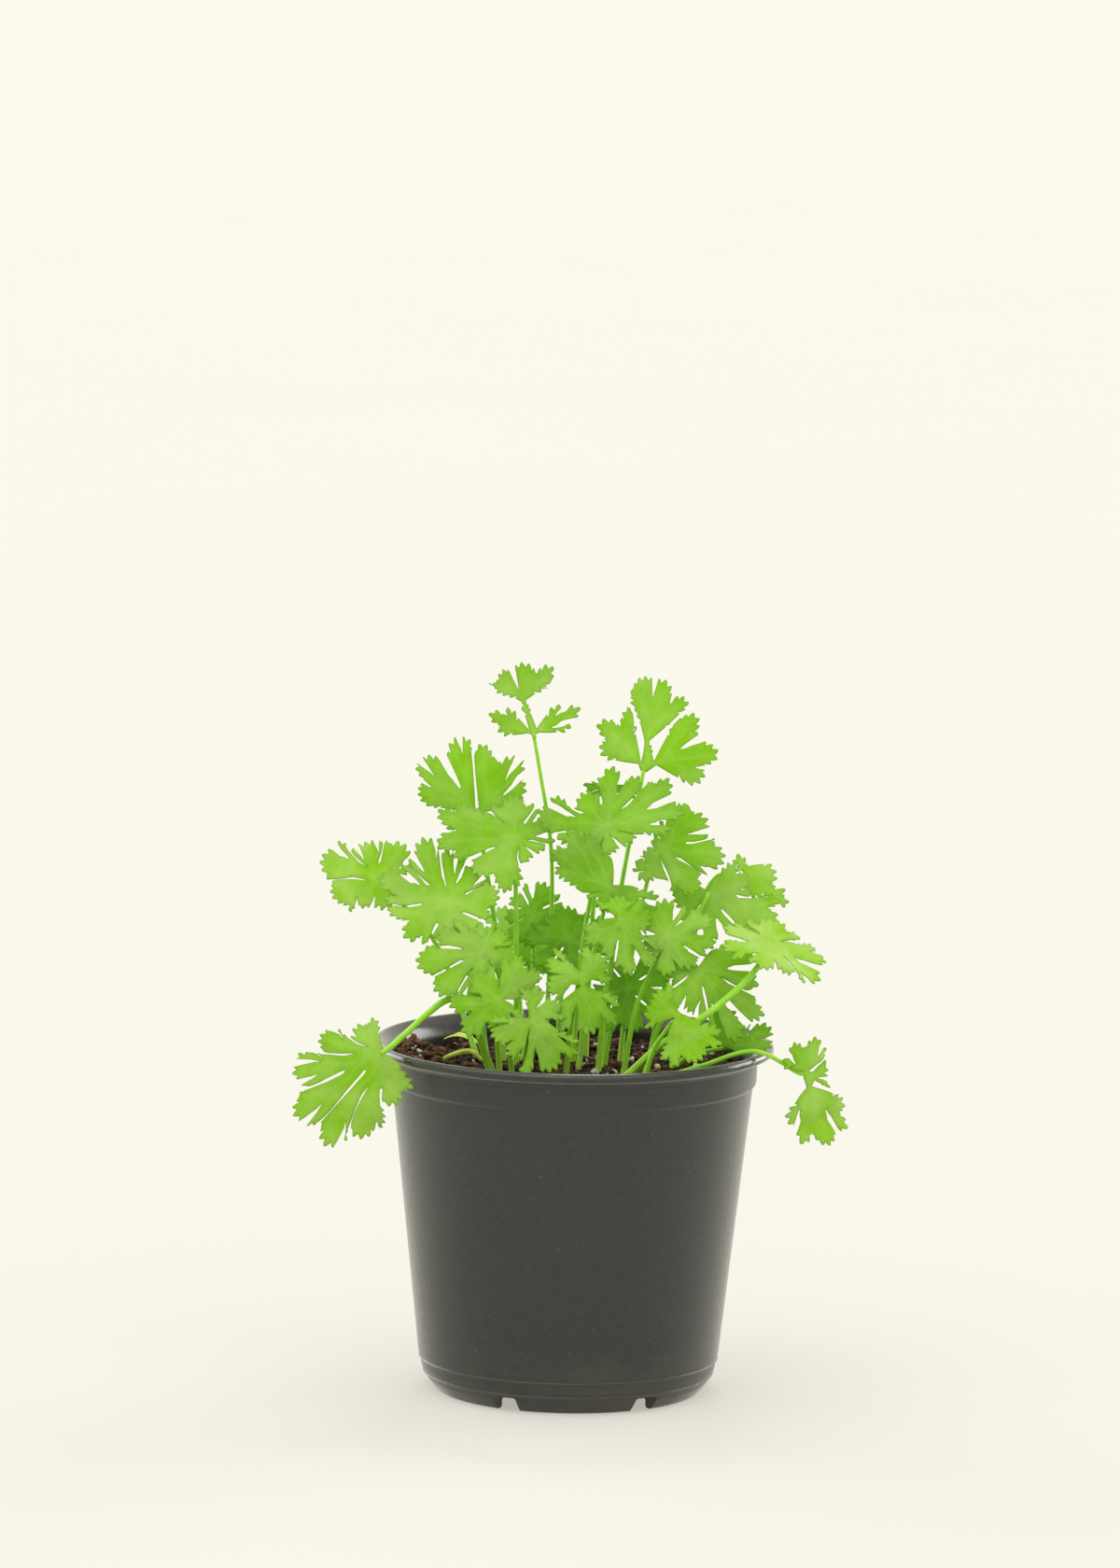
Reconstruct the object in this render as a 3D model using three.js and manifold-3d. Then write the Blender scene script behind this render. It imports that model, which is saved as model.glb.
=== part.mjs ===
// A young coriander plant in a round plastic nursery pot.
// Millimetres, +Z up. The origin is on the pot's axis, on the surface that the pot stands on.
import * as THREE from 'three';
import { mergeVertices } from 'three/addons/utils/BufferGeometryUtils.js';
import Module from 'manifold-3d';

// ---- Driving dimensions -------------------------------------------------------------------------

const RIM_RADIUS = 63.5; // outside of the curled lip
const POT_HEIGHT = 111.5; // standing surface to the top of the lip
const LIP_OVERHANG = 5.5; // lip beyond the collar
const LIP_HEIGHT = 3; // curled lip, top to underside
const COLLAR_HEIGHT = 10; // upright band under the lip
const COLLAR_STEP = 1; // ledge between the collar and the tapering wall
const TAPER = 9.5; // radius lost from the top of the wall to the heel ledge
const WALL = 1.2; // moulded wall
const HEEL_HEIGHT = 12; // tapering wall starts above this
const HEEL_INSET = 3.5; // wall to the step above the foot ring
const FOOT_INSET = 2.5; // step above the foot ring to the ring itself
const FOOT_HEIGHT = 3; // foot ring
const FOOT_WIDTH = 3.2; // radial width of the foot ring
const NOTCH_COUNT = 6; // drainage notches round the heel
const NOTCH_WIDTH = 8;
const NOTCH_HEIGHT = 4.8;
const NOTCH_TURN = 3.5; // degrees that the notches are turned from the X axis
const NOTCH_MARGIN = 2; // how far a notch's cutter stands clear of the heel
const COLLAR_LEAN = 0.3; // how much the collar widens towards the lip
const LEDGE_ROUND = 0.4; // rounded lower edge of the collar
const MOUTH_SLOPE = 2.5; // depth over which the lip slopes in to the wall
const FLOOR_FILLET = 1.6; // rounded corner between the wall and the floor
const ROUND_STEPS = 60; // facets round the pot

const SOIL_DROP = 8.5; // level of the potting mix below the lip
const HEAP = 7; // how far the mix is heaped up at the left
const HEAP_SPREAD = 8; // radius of the heap
const HEAP_INSET = 2; // middle of the heap, in from the edge of the mix
const HEAP_BACK = 6; // middle of the heap, behind the pot's axis
const RIPPLE = 0.5; // how uneven the mix is
const SOIL_SPACING = 8; // rings of points in the surface of the mix
const CLEARANCE = 0.3; // between pieces that touch

const BLADE_THICKNESS = 0.7; // leaf blade
const STALK_WIDTH = 1.8; // leaf stalk, unless the leaf states its own
const STALK_SIDES = 6;
const STALK_STEPS = 9;
const BLADE_HEEL = 1.2; // blade behind the point where the stalk joins it
const HUB_DIP = 0.22; // how far a bent blade dips beside a stalk, as a share of the stalk's width
const OPEN_GAP = 0.7 * Math.PI; // angle between neighbouring leaflets that counts as open
const NECK_HALF = 0.75; // half width of a leaflet's narrow neck
const SLIT_HALF = 0.4; // half of the slit between neighbouring leaflets
const FUSED = 0.42; // share of its length over which a leaflet is joined to its neighbours
const FUSED_SPREAD = 0.9; // radians that a fused base reaches to each side, at most
const LOBE_SWEEP = 2.15; // radians on each side of a leaflet's axis that carry lobes
const LOBE_FULLNESS = 0.75; // 1 gives an oval leaflet, less a squarer one
const LOBE_CLEFT = 0.84; // where the clefts between lobes end, as a share of the lobe's length
const EDGE_CURL = 0.12; // droop of a leaflet's edges, as a share of its half width
const BELLY = 0.55; // widest part of a leaflet, as a share of its length beyond the neck
const LOBE_ROUND = 0.94; // how far out a lobe's shoulders reach, beside its tip
const SHOULDER = 0.55; // where the shoulders are, as a share of half a lobe
const WIDEST_SECTOR = 0.45 * Math.PI; // most that a leaflet may take on each side of its axis
const EARLY_BEND = 0.3; // how far out a plain stalk is when it is halfway up

const STRAW_LENGTH = 14; // dry seed leaf
const STRAW_WIDTH = 4.4;
const STRAW_ARCH = 1.6; // rise of its middle
const STRAW_TURN = -24; // degrees from the X axis
const STRAW_POINTS = 5; // along each edge
const STRAW_PLACE = [-43, 33];
const STRAW_LIFT = 2.4; // the strip bridges the crumbs under it

const BARE_STALK_WIDTH = 1.5; // pale stalk that has lost its leaf
const BARE_STALK_ARCH = [[-42, 3, 1], [-38, 2, 3.6], [-32, 0, 4.4], [-28.5, -1, 1.2]]; // x, y, rise

// ---- Materials ----------------------------------------------------------------------------------

function finish(color, roughness) {
  return new THREE.MeshStandardMaterial({ color, roughness, metalness: 0 });
}

const POT_PLASTIC = finish(0x3e3e39, 0.45);
const POTTING_MIX = finish(0x3a2418, 0.95);
const LEAF_GREEN = finish(0x7cc11c, 0.6);
const STALK_GREEN = finish(0xa6cc50, 0.5);
const DRY_STRAW = finish(0xd8cf8e, 0.8);

// ---- Pot ----------------------------------------------------------------------------------------

const COLLAR_RADIUS = RIM_RADIUS - LIP_OVERHANG;
const WALL_TOP_RADIUS = COLLAR_RADIUS - COLLAR_STEP;
const HEEL_RADIUS = WALL_TOP_RADIUS - TAPER;
const STEP_RADIUS = HEEL_RADIUS - HEEL_INSET;
const FOOT_RADIUS = STEP_RADIUS - FOOT_INSET;
const COLLAR_TOP = POT_HEIGHT - LIP_HEIGHT;
const COLLAR_BOTTOM = COLLAR_TOP - COLLAR_HEIGHT;
const FLOOR_TOP = FOOT_HEIGHT + WALL;

// Radius of the outside of the wall at a height.
function outerRadius(z) {
  if (z >= COLLAR_BOTTOM) {
    return COLLAR_RADIUS;
  }
  const rise = THREE.MathUtils.clamp((z - HEEL_HEIGHT) / (COLLAR_BOTTOM - HEEL_HEIGHT), 0, 1);
  return HEEL_RADIUS + rise * TAPER;
}

// The rolled lip in section. Each point has its share of the overhang, in from the rim, and its
// share of the lip's height.
const LIP_SECTION = [
  [0.4, -0.07], [0.11, 0], [0, 0.3], [0.05, 0.77], [0.29, 1], [0.51, 0.83], [0.96, 0.07],
];

// The rounded heel in section, as shares of its inset and of its height above the foot ring.
const HEEL_SECTION = [[0, 0], [0.23, 0.12], [0.69, 0.47], [0.74, 0.64], [1, 1]];

function potProfile() {
  const points = [
    [0, FOOT_HEIGHT],
    [FOOT_RADIUS - FOOT_WIDTH, FOOT_HEIGHT],
    [FOOT_RADIUS - FOOT_WIDTH, 0],
    [FOOT_RADIUS, 0],
  ];
  HEEL_SECTION.forEach(([out, up]) => {
    points.push([STEP_RADIUS + out * HEEL_INSET, FOOT_HEIGHT + up * (HEEL_HEIGHT - FOOT_HEIGHT)]);
  });
  points.push(
    [WALL_TOP_RADIUS, COLLAR_BOTTOM],
    [COLLAR_RADIUS, COLLAR_BOTTOM + LEDGE_ROUND],
    [COLLAR_RADIUS + COLLAR_LEAN, COLLAR_TOP - LIP_HEIGHT / 2],
  );
  LIP_SECTION.forEach(([inward, up]) => {
    points.push([RIM_RADIUS - inward * LIP_OVERHANG, COLLAR_TOP + up * LIP_HEIGHT]);
  });
  points.push(
    [COLLAR_RADIUS - WALL, COLLAR_TOP - MOUTH_SLOPE],
    [COLLAR_RADIUS - WALL, COLLAR_BOTTOM - WALL / 2],
    [WALL_TOP_RADIUS - WALL, COLLAR_BOTTOM - WALL],
    [HEEL_RADIUS - WALL, HEEL_HEIGHT],
    [STEP_RADIUS + WALL, FLOOR_TOP + FLOOR_FILLET],
    [STEP_RADIUS + WALL - 1.6 * FLOOR_FILLET, FLOOR_TOP],
    [0, FLOOR_TOP],
  );
  return points.map(([r, z]) => new THREE.Vector2(r, z));
}

// Turns a lathe made about Y so that its axis is Z.
function latheAboutZ(profile) {
  const geometry = new THREE.LatheGeometry(profile, ROUND_STEPS);
  geometry.rotateX(Math.PI / 2);
  return geometry;
}

const wasm = await Module();
wasm.setup();

function toSolid(geometry) {
  const bare = geometry.clone();
  bare.deleteAttribute('normal');
  bare.deleteAttribute('uv');
  const merged = mergeVertices(bare, 1e-4);
  return new wasm.Manifold(new wasm.Mesh({
    numProp: 3,
    vertProperties: new Float32Array(merged.attributes.position.array),
    triVerts: new Uint32Array(merged.index.array),
  }));
}

function toGeometry(solid) {
  const mesh = solid.getMesh();
  const geometry = new THREE.BufferGeometry();
  geometry.setAttribute('position', new THREE.BufferAttribute(new Float32Array(mesh.vertProperties), 3));
  geometry.setIndex(Array.from(mesh.triVerts));
  return geometry;
}

function notchCutter(index) {
  const inner = FOOT_RADIUS - FOOT_WIDTH - NOTCH_MARGIN / 4;
  const outer = HEEL_RADIUS + NOTCH_MARGIN;
  const block = new THREE.BoxGeometry(outer - inner, NOTCH_WIDTH, 2 * NOTCH_HEIGHT);
  block.translate((inner + outer) / 2, 0, 0);
  block.rotateZ(THREE.MathUtils.degToRad(NOTCH_TURN + (index * 360) / NOTCH_COUNT));
  return toSolid(block);
}

function makePot() {
  let solid = toSolid(latheAboutZ(potProfile()));
  for (let i = 0; i < NOTCH_COUNT; i += 1) {
    solid = solid.subtract(notchCutter(i));
  }
  return toGeometry(solid);
}

// ---- Potting mix --------------------------------------------------------------------------------

const SOIL_LEVEL = POT_HEIGHT - SOIL_DROP;
const SOIL_RADIUS = COLLAR_RADIUS - WALL - CLEARANCE;
const SOIL_RINGS = Math.ceil(SOIL_RADIUS / SOIL_SPACING);

// Height of the mix at a place: gently uneven, and heaped against the wall at the left.
function soilTop(x, y) {
  const ripple = Math.sin(x * 0.21 + 1) + Math.cos(y * 0.24 - x * 0.07);
  const fromHeap = Math.hypot(x + SOIL_RADIUS - HEAP_INSET, y - HEAP_BACK);
  return SOIL_LEVEL + RIPPLE * ripple + HEAP * Math.exp(-((fromHeap / HEAP_SPREAD) ** 2));
}

function makeSoil() {
  const rings = [];
  for (let ring = 1; ring <= SOIL_RINGS; ring += 1) {
    rings.push({ radius: (ring / SOIL_RINGS) * SOIL_RADIUS });
  }
  const underLedge = COLLAR_BOTTOM - 2 * WALL;
  rings.push({ radius: SOIL_RADIUS, z: COLLAR_BOTTOM + LEDGE_ROUND });
  rings.push({ radius: outerRadius(underLedge) - WALL - CLEARANCE, z: underLedge });
  rings.push({ radius: HEEL_RADIUS - WALL - 2 * CLEARANCE, z: HEEL_HEIGHT });
  rings.push({ radius: STEP_RADIUS - FLOOR_FILLET - CLEARANCE, z: FLOOR_TOP + CLEARANCE });
  const steps = ROUND_STEPS / 2;
  const positions = [0, 0, soilTop(0, 0)];
  rings.forEach(({ radius, z }) => {
    for (let i = 0; i < steps; i += 1) {
      const turn = (i / steps) * 2 * Math.PI;
      const x = radius * Math.cos(turn);
      const y = radius * Math.sin(turn);
      positions.push(x, y, z ?? soilTop(x, y));
    }
  });
  positions.push(0, 0, FLOOR_TOP + CLEARANCE);
  const bottom = positions.length / 3 - 1;
  const at = (ring, i) => 1 + ring * steps + (i % steps);
  const faces = [];
  for (let i = 0; i < steps; i += 1) {
    faces.push(0, at(0, i), at(0, i + 1));
    for (let ring = 1; ring < rings.length; ring += 1) {
      faces.push(at(ring - 1, i), at(ring, i), at(ring, i + 1));
      faces.push(at(ring - 1, i), at(ring, i + 1), at(ring - 1, i + 1));
    }
    faces.push(bottom, at(rings.length - 1, i + 1), at(rings.length - 1, i));
  }
  return closedMesh(positions, faces);
}

function closedMesh(positions, faces) {
  const geometry = new THREE.BufferGeometry();
  geometry.setAttribute('position', new THREE.Float32BufferAttribute(positions, 3));
  geometry.setIndex(faces);
  return geometry;
}

// ---- Leaf blades --------------------------------------------------------------------------------

// Far edge of one leaflet, from right to left, with its round lobes and the two ends of its neck.
// s runs along the leaflet from the hub, t across it.
function leafletOutline({ length, width, lobes, neck }) {
  const root = (neck ?? FUSED) * length;
  const middle = root + BELLY * (length - root);
  const along = length - middle;
  const across = width / 2;
  const full = (value) => Math.sign(value) * Math.abs(value) ** LOBE_FULLNESS;
  const edge = (turn, share) => {
    const s = middle + along * full(Math.cos(turn));
    const t = across * full(Math.sin(turn));
    return [root + share * (s - root), share * t];
  };
  const points = [[root, -NECK_HALF]];
  const halfLobe = LOBE_SWEEP / lobes;
  for (let k = 0; k < lobes; k += 1) {
    const turn = -LOBE_SWEEP + (2 * k + 1) * halfLobe;
    if (k > 0) {
      points.push(edge(turn - halfLobe, LOBE_CLEFT));
    }
    points.push(edge(turn - SHOULDER * halfLobe, LOBE_ROUND));
    points.push(edge(turn, 1));
    points.push(edge(turn + SHOULDER * halfLobe, LOBE_ROUND));
  }
  points.push([root, NECK_HALF]);
  return points;
}

// Cuts a leaflet's outline to the sector between two directions, less half a slit on each side.
// Of the points that lie outside, the farthest out is moved onto the sector's edge. A leaflet with
// no narrow neck of its own is joined to its neighbours there, so the two ends of its neck lie on
// the sector's edges.
function trimToSector(points, fan, low, high) {
  const middle = (low + high) / 2;
  const trimmed = [];
  let outside = null;
  points.forEach((point, i) => {
    const r = Math.hypot(point.u, point.v);
    const margin = Math.min(SLIT_HALF / Math.max(r, SLIT_HALF), (high - low) * 0.3);
    const raw = Math.atan2(point.v, point.u);
    let turn = raw + 2 * Math.PI * Math.round((middle - raw) / (2 * Math.PI));
    const isNeck = i === 0 || i === points.length - 1;
    if (isNeck && fan.neck === undefined) {
      turn = fan.turn + (i === 0 ? -FUSED_SPREAD : FUSED_SPREAD);
    }
    const kept = THREE.MathUtils.clamp(turn, low + margin, high - margin);
    const moved = { ...point, r, u: r * Math.cos(kept), v: r * Math.sin(kept) };
    if (!isNeck && kept !== turn) {
      outside = outside && outside.r > r ? outside : moved;
      return;
    }
    if (outside) {
      trimmed.push(outside);
      outside = null;
    }
    trimmed.push(moved);
  });
  return trimmed;
}

// The plane of a leaf: its normal comes from the leaflets' tips, and faces up or to the front.
function leafPlane(tips) {
  const normal = new THREE.Vector3();
  tips.forEach((tip, i) => normal.add(tip.clone().cross(tips[(i + 1) % tips.length])));
  if (tips.length < 3) {
    normal.set(0, -1, 0.2);
    normal.addScaledVector(tips[0], -normal.dot(tips[0]) / tips[0].lengthSq());
  }
  normal.normalize();
  if (normal.z - normal.y < 0) {
    normal.negate();
  }
  const u = tips[0].clone().addScaledVector(normal, -tips[0].dot(normal)).normalize();
  const v = normal.clone().cross(u);
  return { u, v, normal };
}

// A blade: every leaflet in turn round the hub, given as [x, y, z of its tip, width, lobes, neck].
function makeBlade(leaflets) {
  const tips = leaflets.map(([x, y, z]) => new THREE.Vector3(x, y, z));
  const plane = leafPlane(tips);
  const fans = leaflets.map(([, , , width, lobes, neck], i) => {
    const length = Math.hypot(tips[i].dot(plane.u), tips[i].dot(plane.v));
    return {
      length, width, lobes, neck,
      turn: Math.atan2(tips[i].dot(plane.v), tips[i].dot(plane.u)),
      rise: tips[i].dot(plane.normal),
    };
  });
  fans.sort((a, b) => a.turn - b.turn);
  const contour = [];
  const heights = [];
  const gaps = [];
  fans.forEach((fan, i) => {
    const before = fans[(i + fans.length - 1) % fans.length].turn - (i === 0 ? 2 * Math.PI : 0);
    const after = fans[(i + 1) % fans.length].turn + (i === fans.length - 1 ? 2 * Math.PI : 0);
    const low = fan.turn - Math.min((fan.turn - before) / 2, WIDEST_SECTOR);
    const high = fan.turn + Math.min((after - fan.turn) / 2, WIDEST_SECTOR);
    const cos = Math.cos(fan.turn);
    const sin = Math.sin(fan.turn);
    const placed = leafletOutline(fan).map(([s, t]) => ({ u: s * cos - t * sin, v: s * sin + t * cos, t }));
    trimToSector(placed, fan, low, high).forEach(({ u, v, t }) => {
      contour.push(new THREE.Vector2(u, v));
      const share = Math.hypot(u, v) / fan.length;
      const side = t / (fan.width / 2);
      heights.push(fan.rise * share * share - EDGE_CURL * (fan.width / 2) * side * side);
    });
    if (after - fan.turn > OPEN_GAP) {
      const heel = (fan.turn + after) / 2;
      gaps.push(heel);
      contour.push(new THREE.Vector2(BLADE_HEEL * Math.cos(heel), BLADE_HEEL * Math.sin(heel)));
      heights.push(0);
    }
  });
  return { geometry: plate(contour, heights, plane), plane, gaps };
}

// A thin plate over an outline in the leaf's plane, bent by the heights given at its points.
function plate(contour, heights, plane) {
  const count = contour.length;
  const positions = [];
  [BLADE_THICKNESS / 2, -BLADE_THICKNESS / 2].forEach((offset) => {
    contour.forEach((point, i) => {
      const place = plane.u.clone().multiplyScalar(point.x);
      place.addScaledVector(plane.v, point.y);
      place.addScaledVector(plane.normal, heights[i] + offset);
      positions.push(place.x, place.y, place.z);
    });
  });
  const faces = [];
  THREE.ShapeUtils.triangulateShape(contour, []).forEach(([a, b, c]) => {
    const side = (contour[b].x - contour[a].x) * (contour[c].y - contour[a].y)
      - (contour[c].x - contour[a].x) * (contour[b].y - contour[a].y);
    const [p, q] = side > 0 ? [b, c] : [c, b];
    faces.push(a, p, q, count + a, count + q, count + p);
  });
  for (let i = 0; i < count; i += 1) {
    const next = (i + 1) % count;
    faces.push(i, count + i, count + next, i, count + next, next);
  }
  return closedMesh(positions, faces);
}

// ---- Leaf stalks --------------------------------------------------------------------------------

// A round stalk along a smooth curve through the points given.
function makeStalk(points, width, steps = STALK_STEPS) {
  const section = new THREE.Shape();
  for (let i = 0; i < STALK_SIDES; i += 1) {
    const turn = (i / STALK_SIDES) * 2 * Math.PI;
    const corner = [(width / 2) * Math.cos(turn), (width / 2) * Math.sin(turn)];
    if (i === 0) {
      section.moveTo(...corner);
    } else {
      section.lineTo(...corner);
    }
  }
  section.closePath();
  const path = new THREE.CatmullRomCurve3(points, false, 'centripetal');
  return new THREE.ExtrudeGeometry(section, { steps, bevelEnabled: false, extrudePath: path });
}

// Where a stalk that arrives along a direction stops, so that it meets the blade with the usual
// clearance: behind the heel where there is a gap between leaflets, and otherwise under the hub.
function stalkEnd(hub, direction, { plane, gaps }, width) {
  const facing = direction.dot(plane.normal);
  const sliding = Math.sqrt(1 - facing * facing);
  const from = Math.atan2(-direction.dot(plane.v), -direction.dot(plane.u));
  const isOpen = gaps.some((gap) => Math.cos(gap - from) > Math.cos(OPEN_GAP / 3));
  if (isOpen && sliding > Math.abs(facing)) {
    const behind = (BLADE_HEEL + CLEARANCE + HUB_DIP * width + (width / 2) * Math.abs(facing)) / sliding;
    return hub.clone().addScaledVector(direction, -behind);
  }
  const under = BLADE_THICKNESS / 2 + HUB_DIP * width + CLEARANCE + (width / 2) * sliding;
  return hub.clone().addScaledVector(plane.normal, -Math.sign(facing) * under);
}

// From the mix, up and out to the hub of a leaf, through the places given on the way.
function stalkPoints({ foot, via, hub }, blade, width) {
  const [x, y] = foot;
  const start = new THREE.Vector3(x, y, soilTop(x, y) + CLEARANCE + width / 2);
  const middles = [...via];
  if (middles.length === 0) {
    const middle = start.clone().lerp(hub, 0.5);
    middle.x = start.x + EARLY_BEND * (hub.x - start.x);
    middle.y = start.y + EARLY_BEND * (hub.y - start.y);
    middles.push(middle);
  }
  const direction = hub.clone().sub(middles[middles.length - 1]).normalize();
  return [start, ...middles, stalkEnd(hub, direction, blade, width)];
}

// ---- The plant ----------------------------------------------------------------------------------

// How far from the middle the lip's outer edge is, at a depth in front of or behind the axis.
function lipEdge(y) {
  return Math.sqrt(RIM_RADIUS ** 2 - y ** 2);
}

// Heights below are from the top of the lip. Each leaf has the foot of its stalk on the mix [x, y],
// the hub where the stalk joins the blade [x, y, z], and its leaflets as seen from the hub:
// [x, y, z of the tip, width, lobes, and the share of the length that is a narrow neck, if it has
// one]. via lists places that the stalk passes through, where it doesn't rise in a plain arc.
const LEAVES = [
  {
    foot: [-9, 13], hub: [-14, 12, 96], via: [[-7.5, 18, 32], [-8, 15, 60]], stalk: 1.6,
    leaflets: [[-13, -5, 6, 7, 3, 0.1], [-6.5, -2, 20.5, 22, 3, 0.5], [13.5, -4, 8, 7, 3, 0.1]],
  },
  {
    foot: [10, 12], hub: [21, 18, 84],
    leaflets: [[-9.5, 2, 17, 17, 4, 0.12], [2.5, 4, 28, 22, 3, 0.32], [19.5, 0, 11.5, 22, 4, 0.18]],
  },
  {
    foot: [4, 18], hub: [9, 24, 77],
    leaflets: [[-6, -1, 1, 9, 3], [12, 2, -1, 10, 3], [-1, 6, -3, 9, 3]],
  },
  {
    foot: [-22, 8], hub: [-31, 14, 68], stalk: 2,
    leaflets: [[-13, 2, 22, 24, 4, 0.12], [7, 3, 21, 21, 4, 0.12], [-6, 8, -9, 12, 3, 0.12]],
  },
  {
    foot: [-18, -2], hub: [-19, -2, 65],
    leaflets: [
      [-24, -6, 3, 18, 4], [-1, 5, 11, 14, 3], [11, 3, 4, 12, 3], [6, -4, -5.5, 12, 2],
      [-8, -9, -13, 19, 4],
    ],
  },
  {
    foot: [-30, 4], hub: [-63, 6, 50], via: [[-44, 15, 28]],
    leaflets: [
      [-16, -1, 5.5, 15, 3], [-3.5, 3, 10.5, 12, 2], [8.5, 3, 9, 13, 3], [0, -4, -9, 13, 2],
      [-12.5, -4, -5.5, 15, 3],
    ],
  },
  {
    foot: [-27, -8], hub: [-40, -12, 45], stalk: 2,
    leaflets: [
      [-20, 4, 7, 14, 3], [-8, 7, 18, 14, 3], [1, 7, 15.5, 11, 2], [9, 5, 10, 12, 2],
      [15, -2, 3, 14, 3], [3, -9, -9, 19, 4], [-15, -7, -6, 18, 4],
    ],
  },
  {
    foot: [-23, -16], hub: [-29, -24, 32],
    leaflets: [
      [7.5, 3, 5, 10, 2], [9.5, 0, -3.5, 12, 3], [-3, -8, -14, 16, 3], [-13, -6, -12, 14, 3],
      [-19, -2, -4, 14, 3], [-13, 2, 5, 12, 3],
    ],
  },
  {
    foot: [-19, -22], hub: [-23, -36, 19],
    leaflets: [[9, 3, 10, 15, 4], [-13, -3, -6, 18, 4], [-8, 3, 6, 12, 3], [2, -4, -9, 12, 3]],
  },
  {
    foot: [-15, -26], hub: [-13, -41, 13],
    leaflets: [[-9, -3, -8, 18, 4], [6.5, -4, -14, 21, 5], [5, 4, 7, 16, 4]],
  },
  {
    foot: [-2, -20], hub: [2, -32, 26],
    leaflets: [[3, -5, -16.5, 21, 5, 0.2], [7, 5, 4, 13, 3], [-10, -1, 0, 17, 4]],
  },
  {
    foot: [8, -14], hub: [14, -20, 42],
    leaflets: [[-7, -4, -9, 15, 4], [7, -4, -15, 15, 4], [9, 3, 0, 12, 3], [-1, 5, 6, 12, 3]],
  },
  {
    foot: [2, -6], hub: [11, -8, 50],
    leaflets: [[-16, -3, 15, 16, 4], [-2, -5, -6, 14, 3], [12, -3, -11, 17, 4]],
  },
  {
    foot: [0, 3], hub: [9, 2, 68],
    leaflets: [
      [-20, -5, 3.5, 14, 3], [-14, -8, -5, 12, 2], [5, -4, -6, 17, 4], [22, 3, 9.5, 18, 4],
      [6, 6, 16, 16, 4], [-7, 3, 9, 12, 3],
    ],
  },
  {
    foot: [15, 5], hub: [25.5, 14, 60.5],
    leaflets: [[15, 2, 7, 17, 3], [0, -5, -11, 14, 2], [12, -2, -14, 13, 3], [20, 0, -4, 14, 3]],
  },
  {
    foot: [24, 12], hub: [54, 30, 51], via: [[34, 20, 30], [46, 27, 50]], stalk: 1.5,
    leaflets: [[13, -2, -11, 5, 3], [-3, 1, 3, 3, 1]],
  },
  {
    foot: [24, 4], hub: [42, 20, 44],
    leaflets: [[21, -2, -9, 21, 5], [13, 2, 4, 14, 3], [-10, -1, -1, 14, 3], [5, -3, -13, 18, 4]],
  },
  {
    foot: [16, -28], hub: [61, -24, 35], via: [[28, -33, 5], [41, -33, 14], [55, -28, 26]], stalk: 2.6,
    leaflets: [[-14, -1, 3, 17, 4], [2, -10, -6, 17, 4], [16, 0, -7, 18, 4], [1, 9, 6, 17, 3]],
  },
  {
    foot: [16, -12], hub: [29, -16, 36],
    leaflets: [[-1, 4, 10, 13, 3], [-7, -3, -2, 13, 3], [4, -4, -10, 17, 4], [14, 1, 2, 15, 4]],
  },
  {
    foot: [23, -11], hub: [39, -18, 26],
    leaflets: [[-4, -6, -12, 18, 4], [16, 0, -18, 20, 4], [17.5, 6, 0, 18, 4], [-9, 1, 0, 13, 3]],
  },
  {
    foot: [22, -38], hub: [32, -45, 16],
    leaflets: [[-8, 0, 4, 15, 4], [6.5, -3, -13, 20, 5]],
  },
  {
    foot: [32, -4], hub: [50, -12, 1],
    leaflets: [[-6, 3, 9, 13, 1], [12, 0, 4, 8, 1]],
  },
  {
    foot: [27, -27], hub: [lipEdge(25) + 15, -24, -6.5],
    via: [[lipEdge(25) - 18, -27, -3], [lipEdge(25) - 1.5, -25, 1.6]],
    leaflets: [[-1, -2, 11.5, 15, 4, 0.15], [6, 0, 1, 11, 2], [6.5, -3, -19.5, 19, 5, 0.15]],
  },
  {
    foot: [-26, -16], hub: [-lipEdge(33) - 6, -33, 0], via: [[-36, -24, 17]], stalk: 2.6,
    leaflets: [
      [4.5, -4, -14, 13, 3], [-8, 3, 7, 13, 3], [-18, 2, 4, 14, 3], [-26, 1, -6.5, 17, 3],
      [-25, 0, -20, 17, 3], [-16, 0, -28, 15, 3], [-6, -1, -25, 15, 3],
    ],
  },
  {
    foot: [-13, 18], hub: [-13, 22, 37],
    leaflets: [[-8, 2, 1, 12, 4], [-4, -2, -9, 13, 4], [9, 0, -3, 14, 4], [3, 5, 8, 12, 3]],
  },
  {
    foot: [-5, 8], hub: [-2, 12, 30],
    leaflets: [[-12, -2, -3, 16, 4], [1, -3, -12, 17, 4], [12, 0, -1, 16, 3], [-1, 4, 9, 15, 3]],
  },
  {
    foot: [10, -2], hub: [17, -2, 17],
    leaflets: [[-11, -2, 2, 16, 4], [2, -4, -12, 20, 5], [12, -1, 0, 16, 4], [2, 4, 9, 14, 4]],
  },
  {
    foot: [-16, 26], hub: [-20, 40, 24],
    leaflets: [[-15, 6, -5, 20, 4], [13, 4, -4, 18, 4], [1, 10, 10, 18, 4]],
  },
];

const plant = new THREE.Group();

function add(name, geometry, material, place) {
  const mesh = new THREE.Mesh(geometry, material);
  mesh.name = name;
  if (place) {
    mesh.position.copy(place);
  }
  plant.add(mesh);
}

// A place given from the top of the lip.
function aboveLip([x, y, z]) {
  return new THREE.Vector3(x, y, POT_HEIGHT + z);
}

add('pot', makePot(), POT_PLASTIC);
add('soil', makeSoil(), POTTING_MIX);

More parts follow.
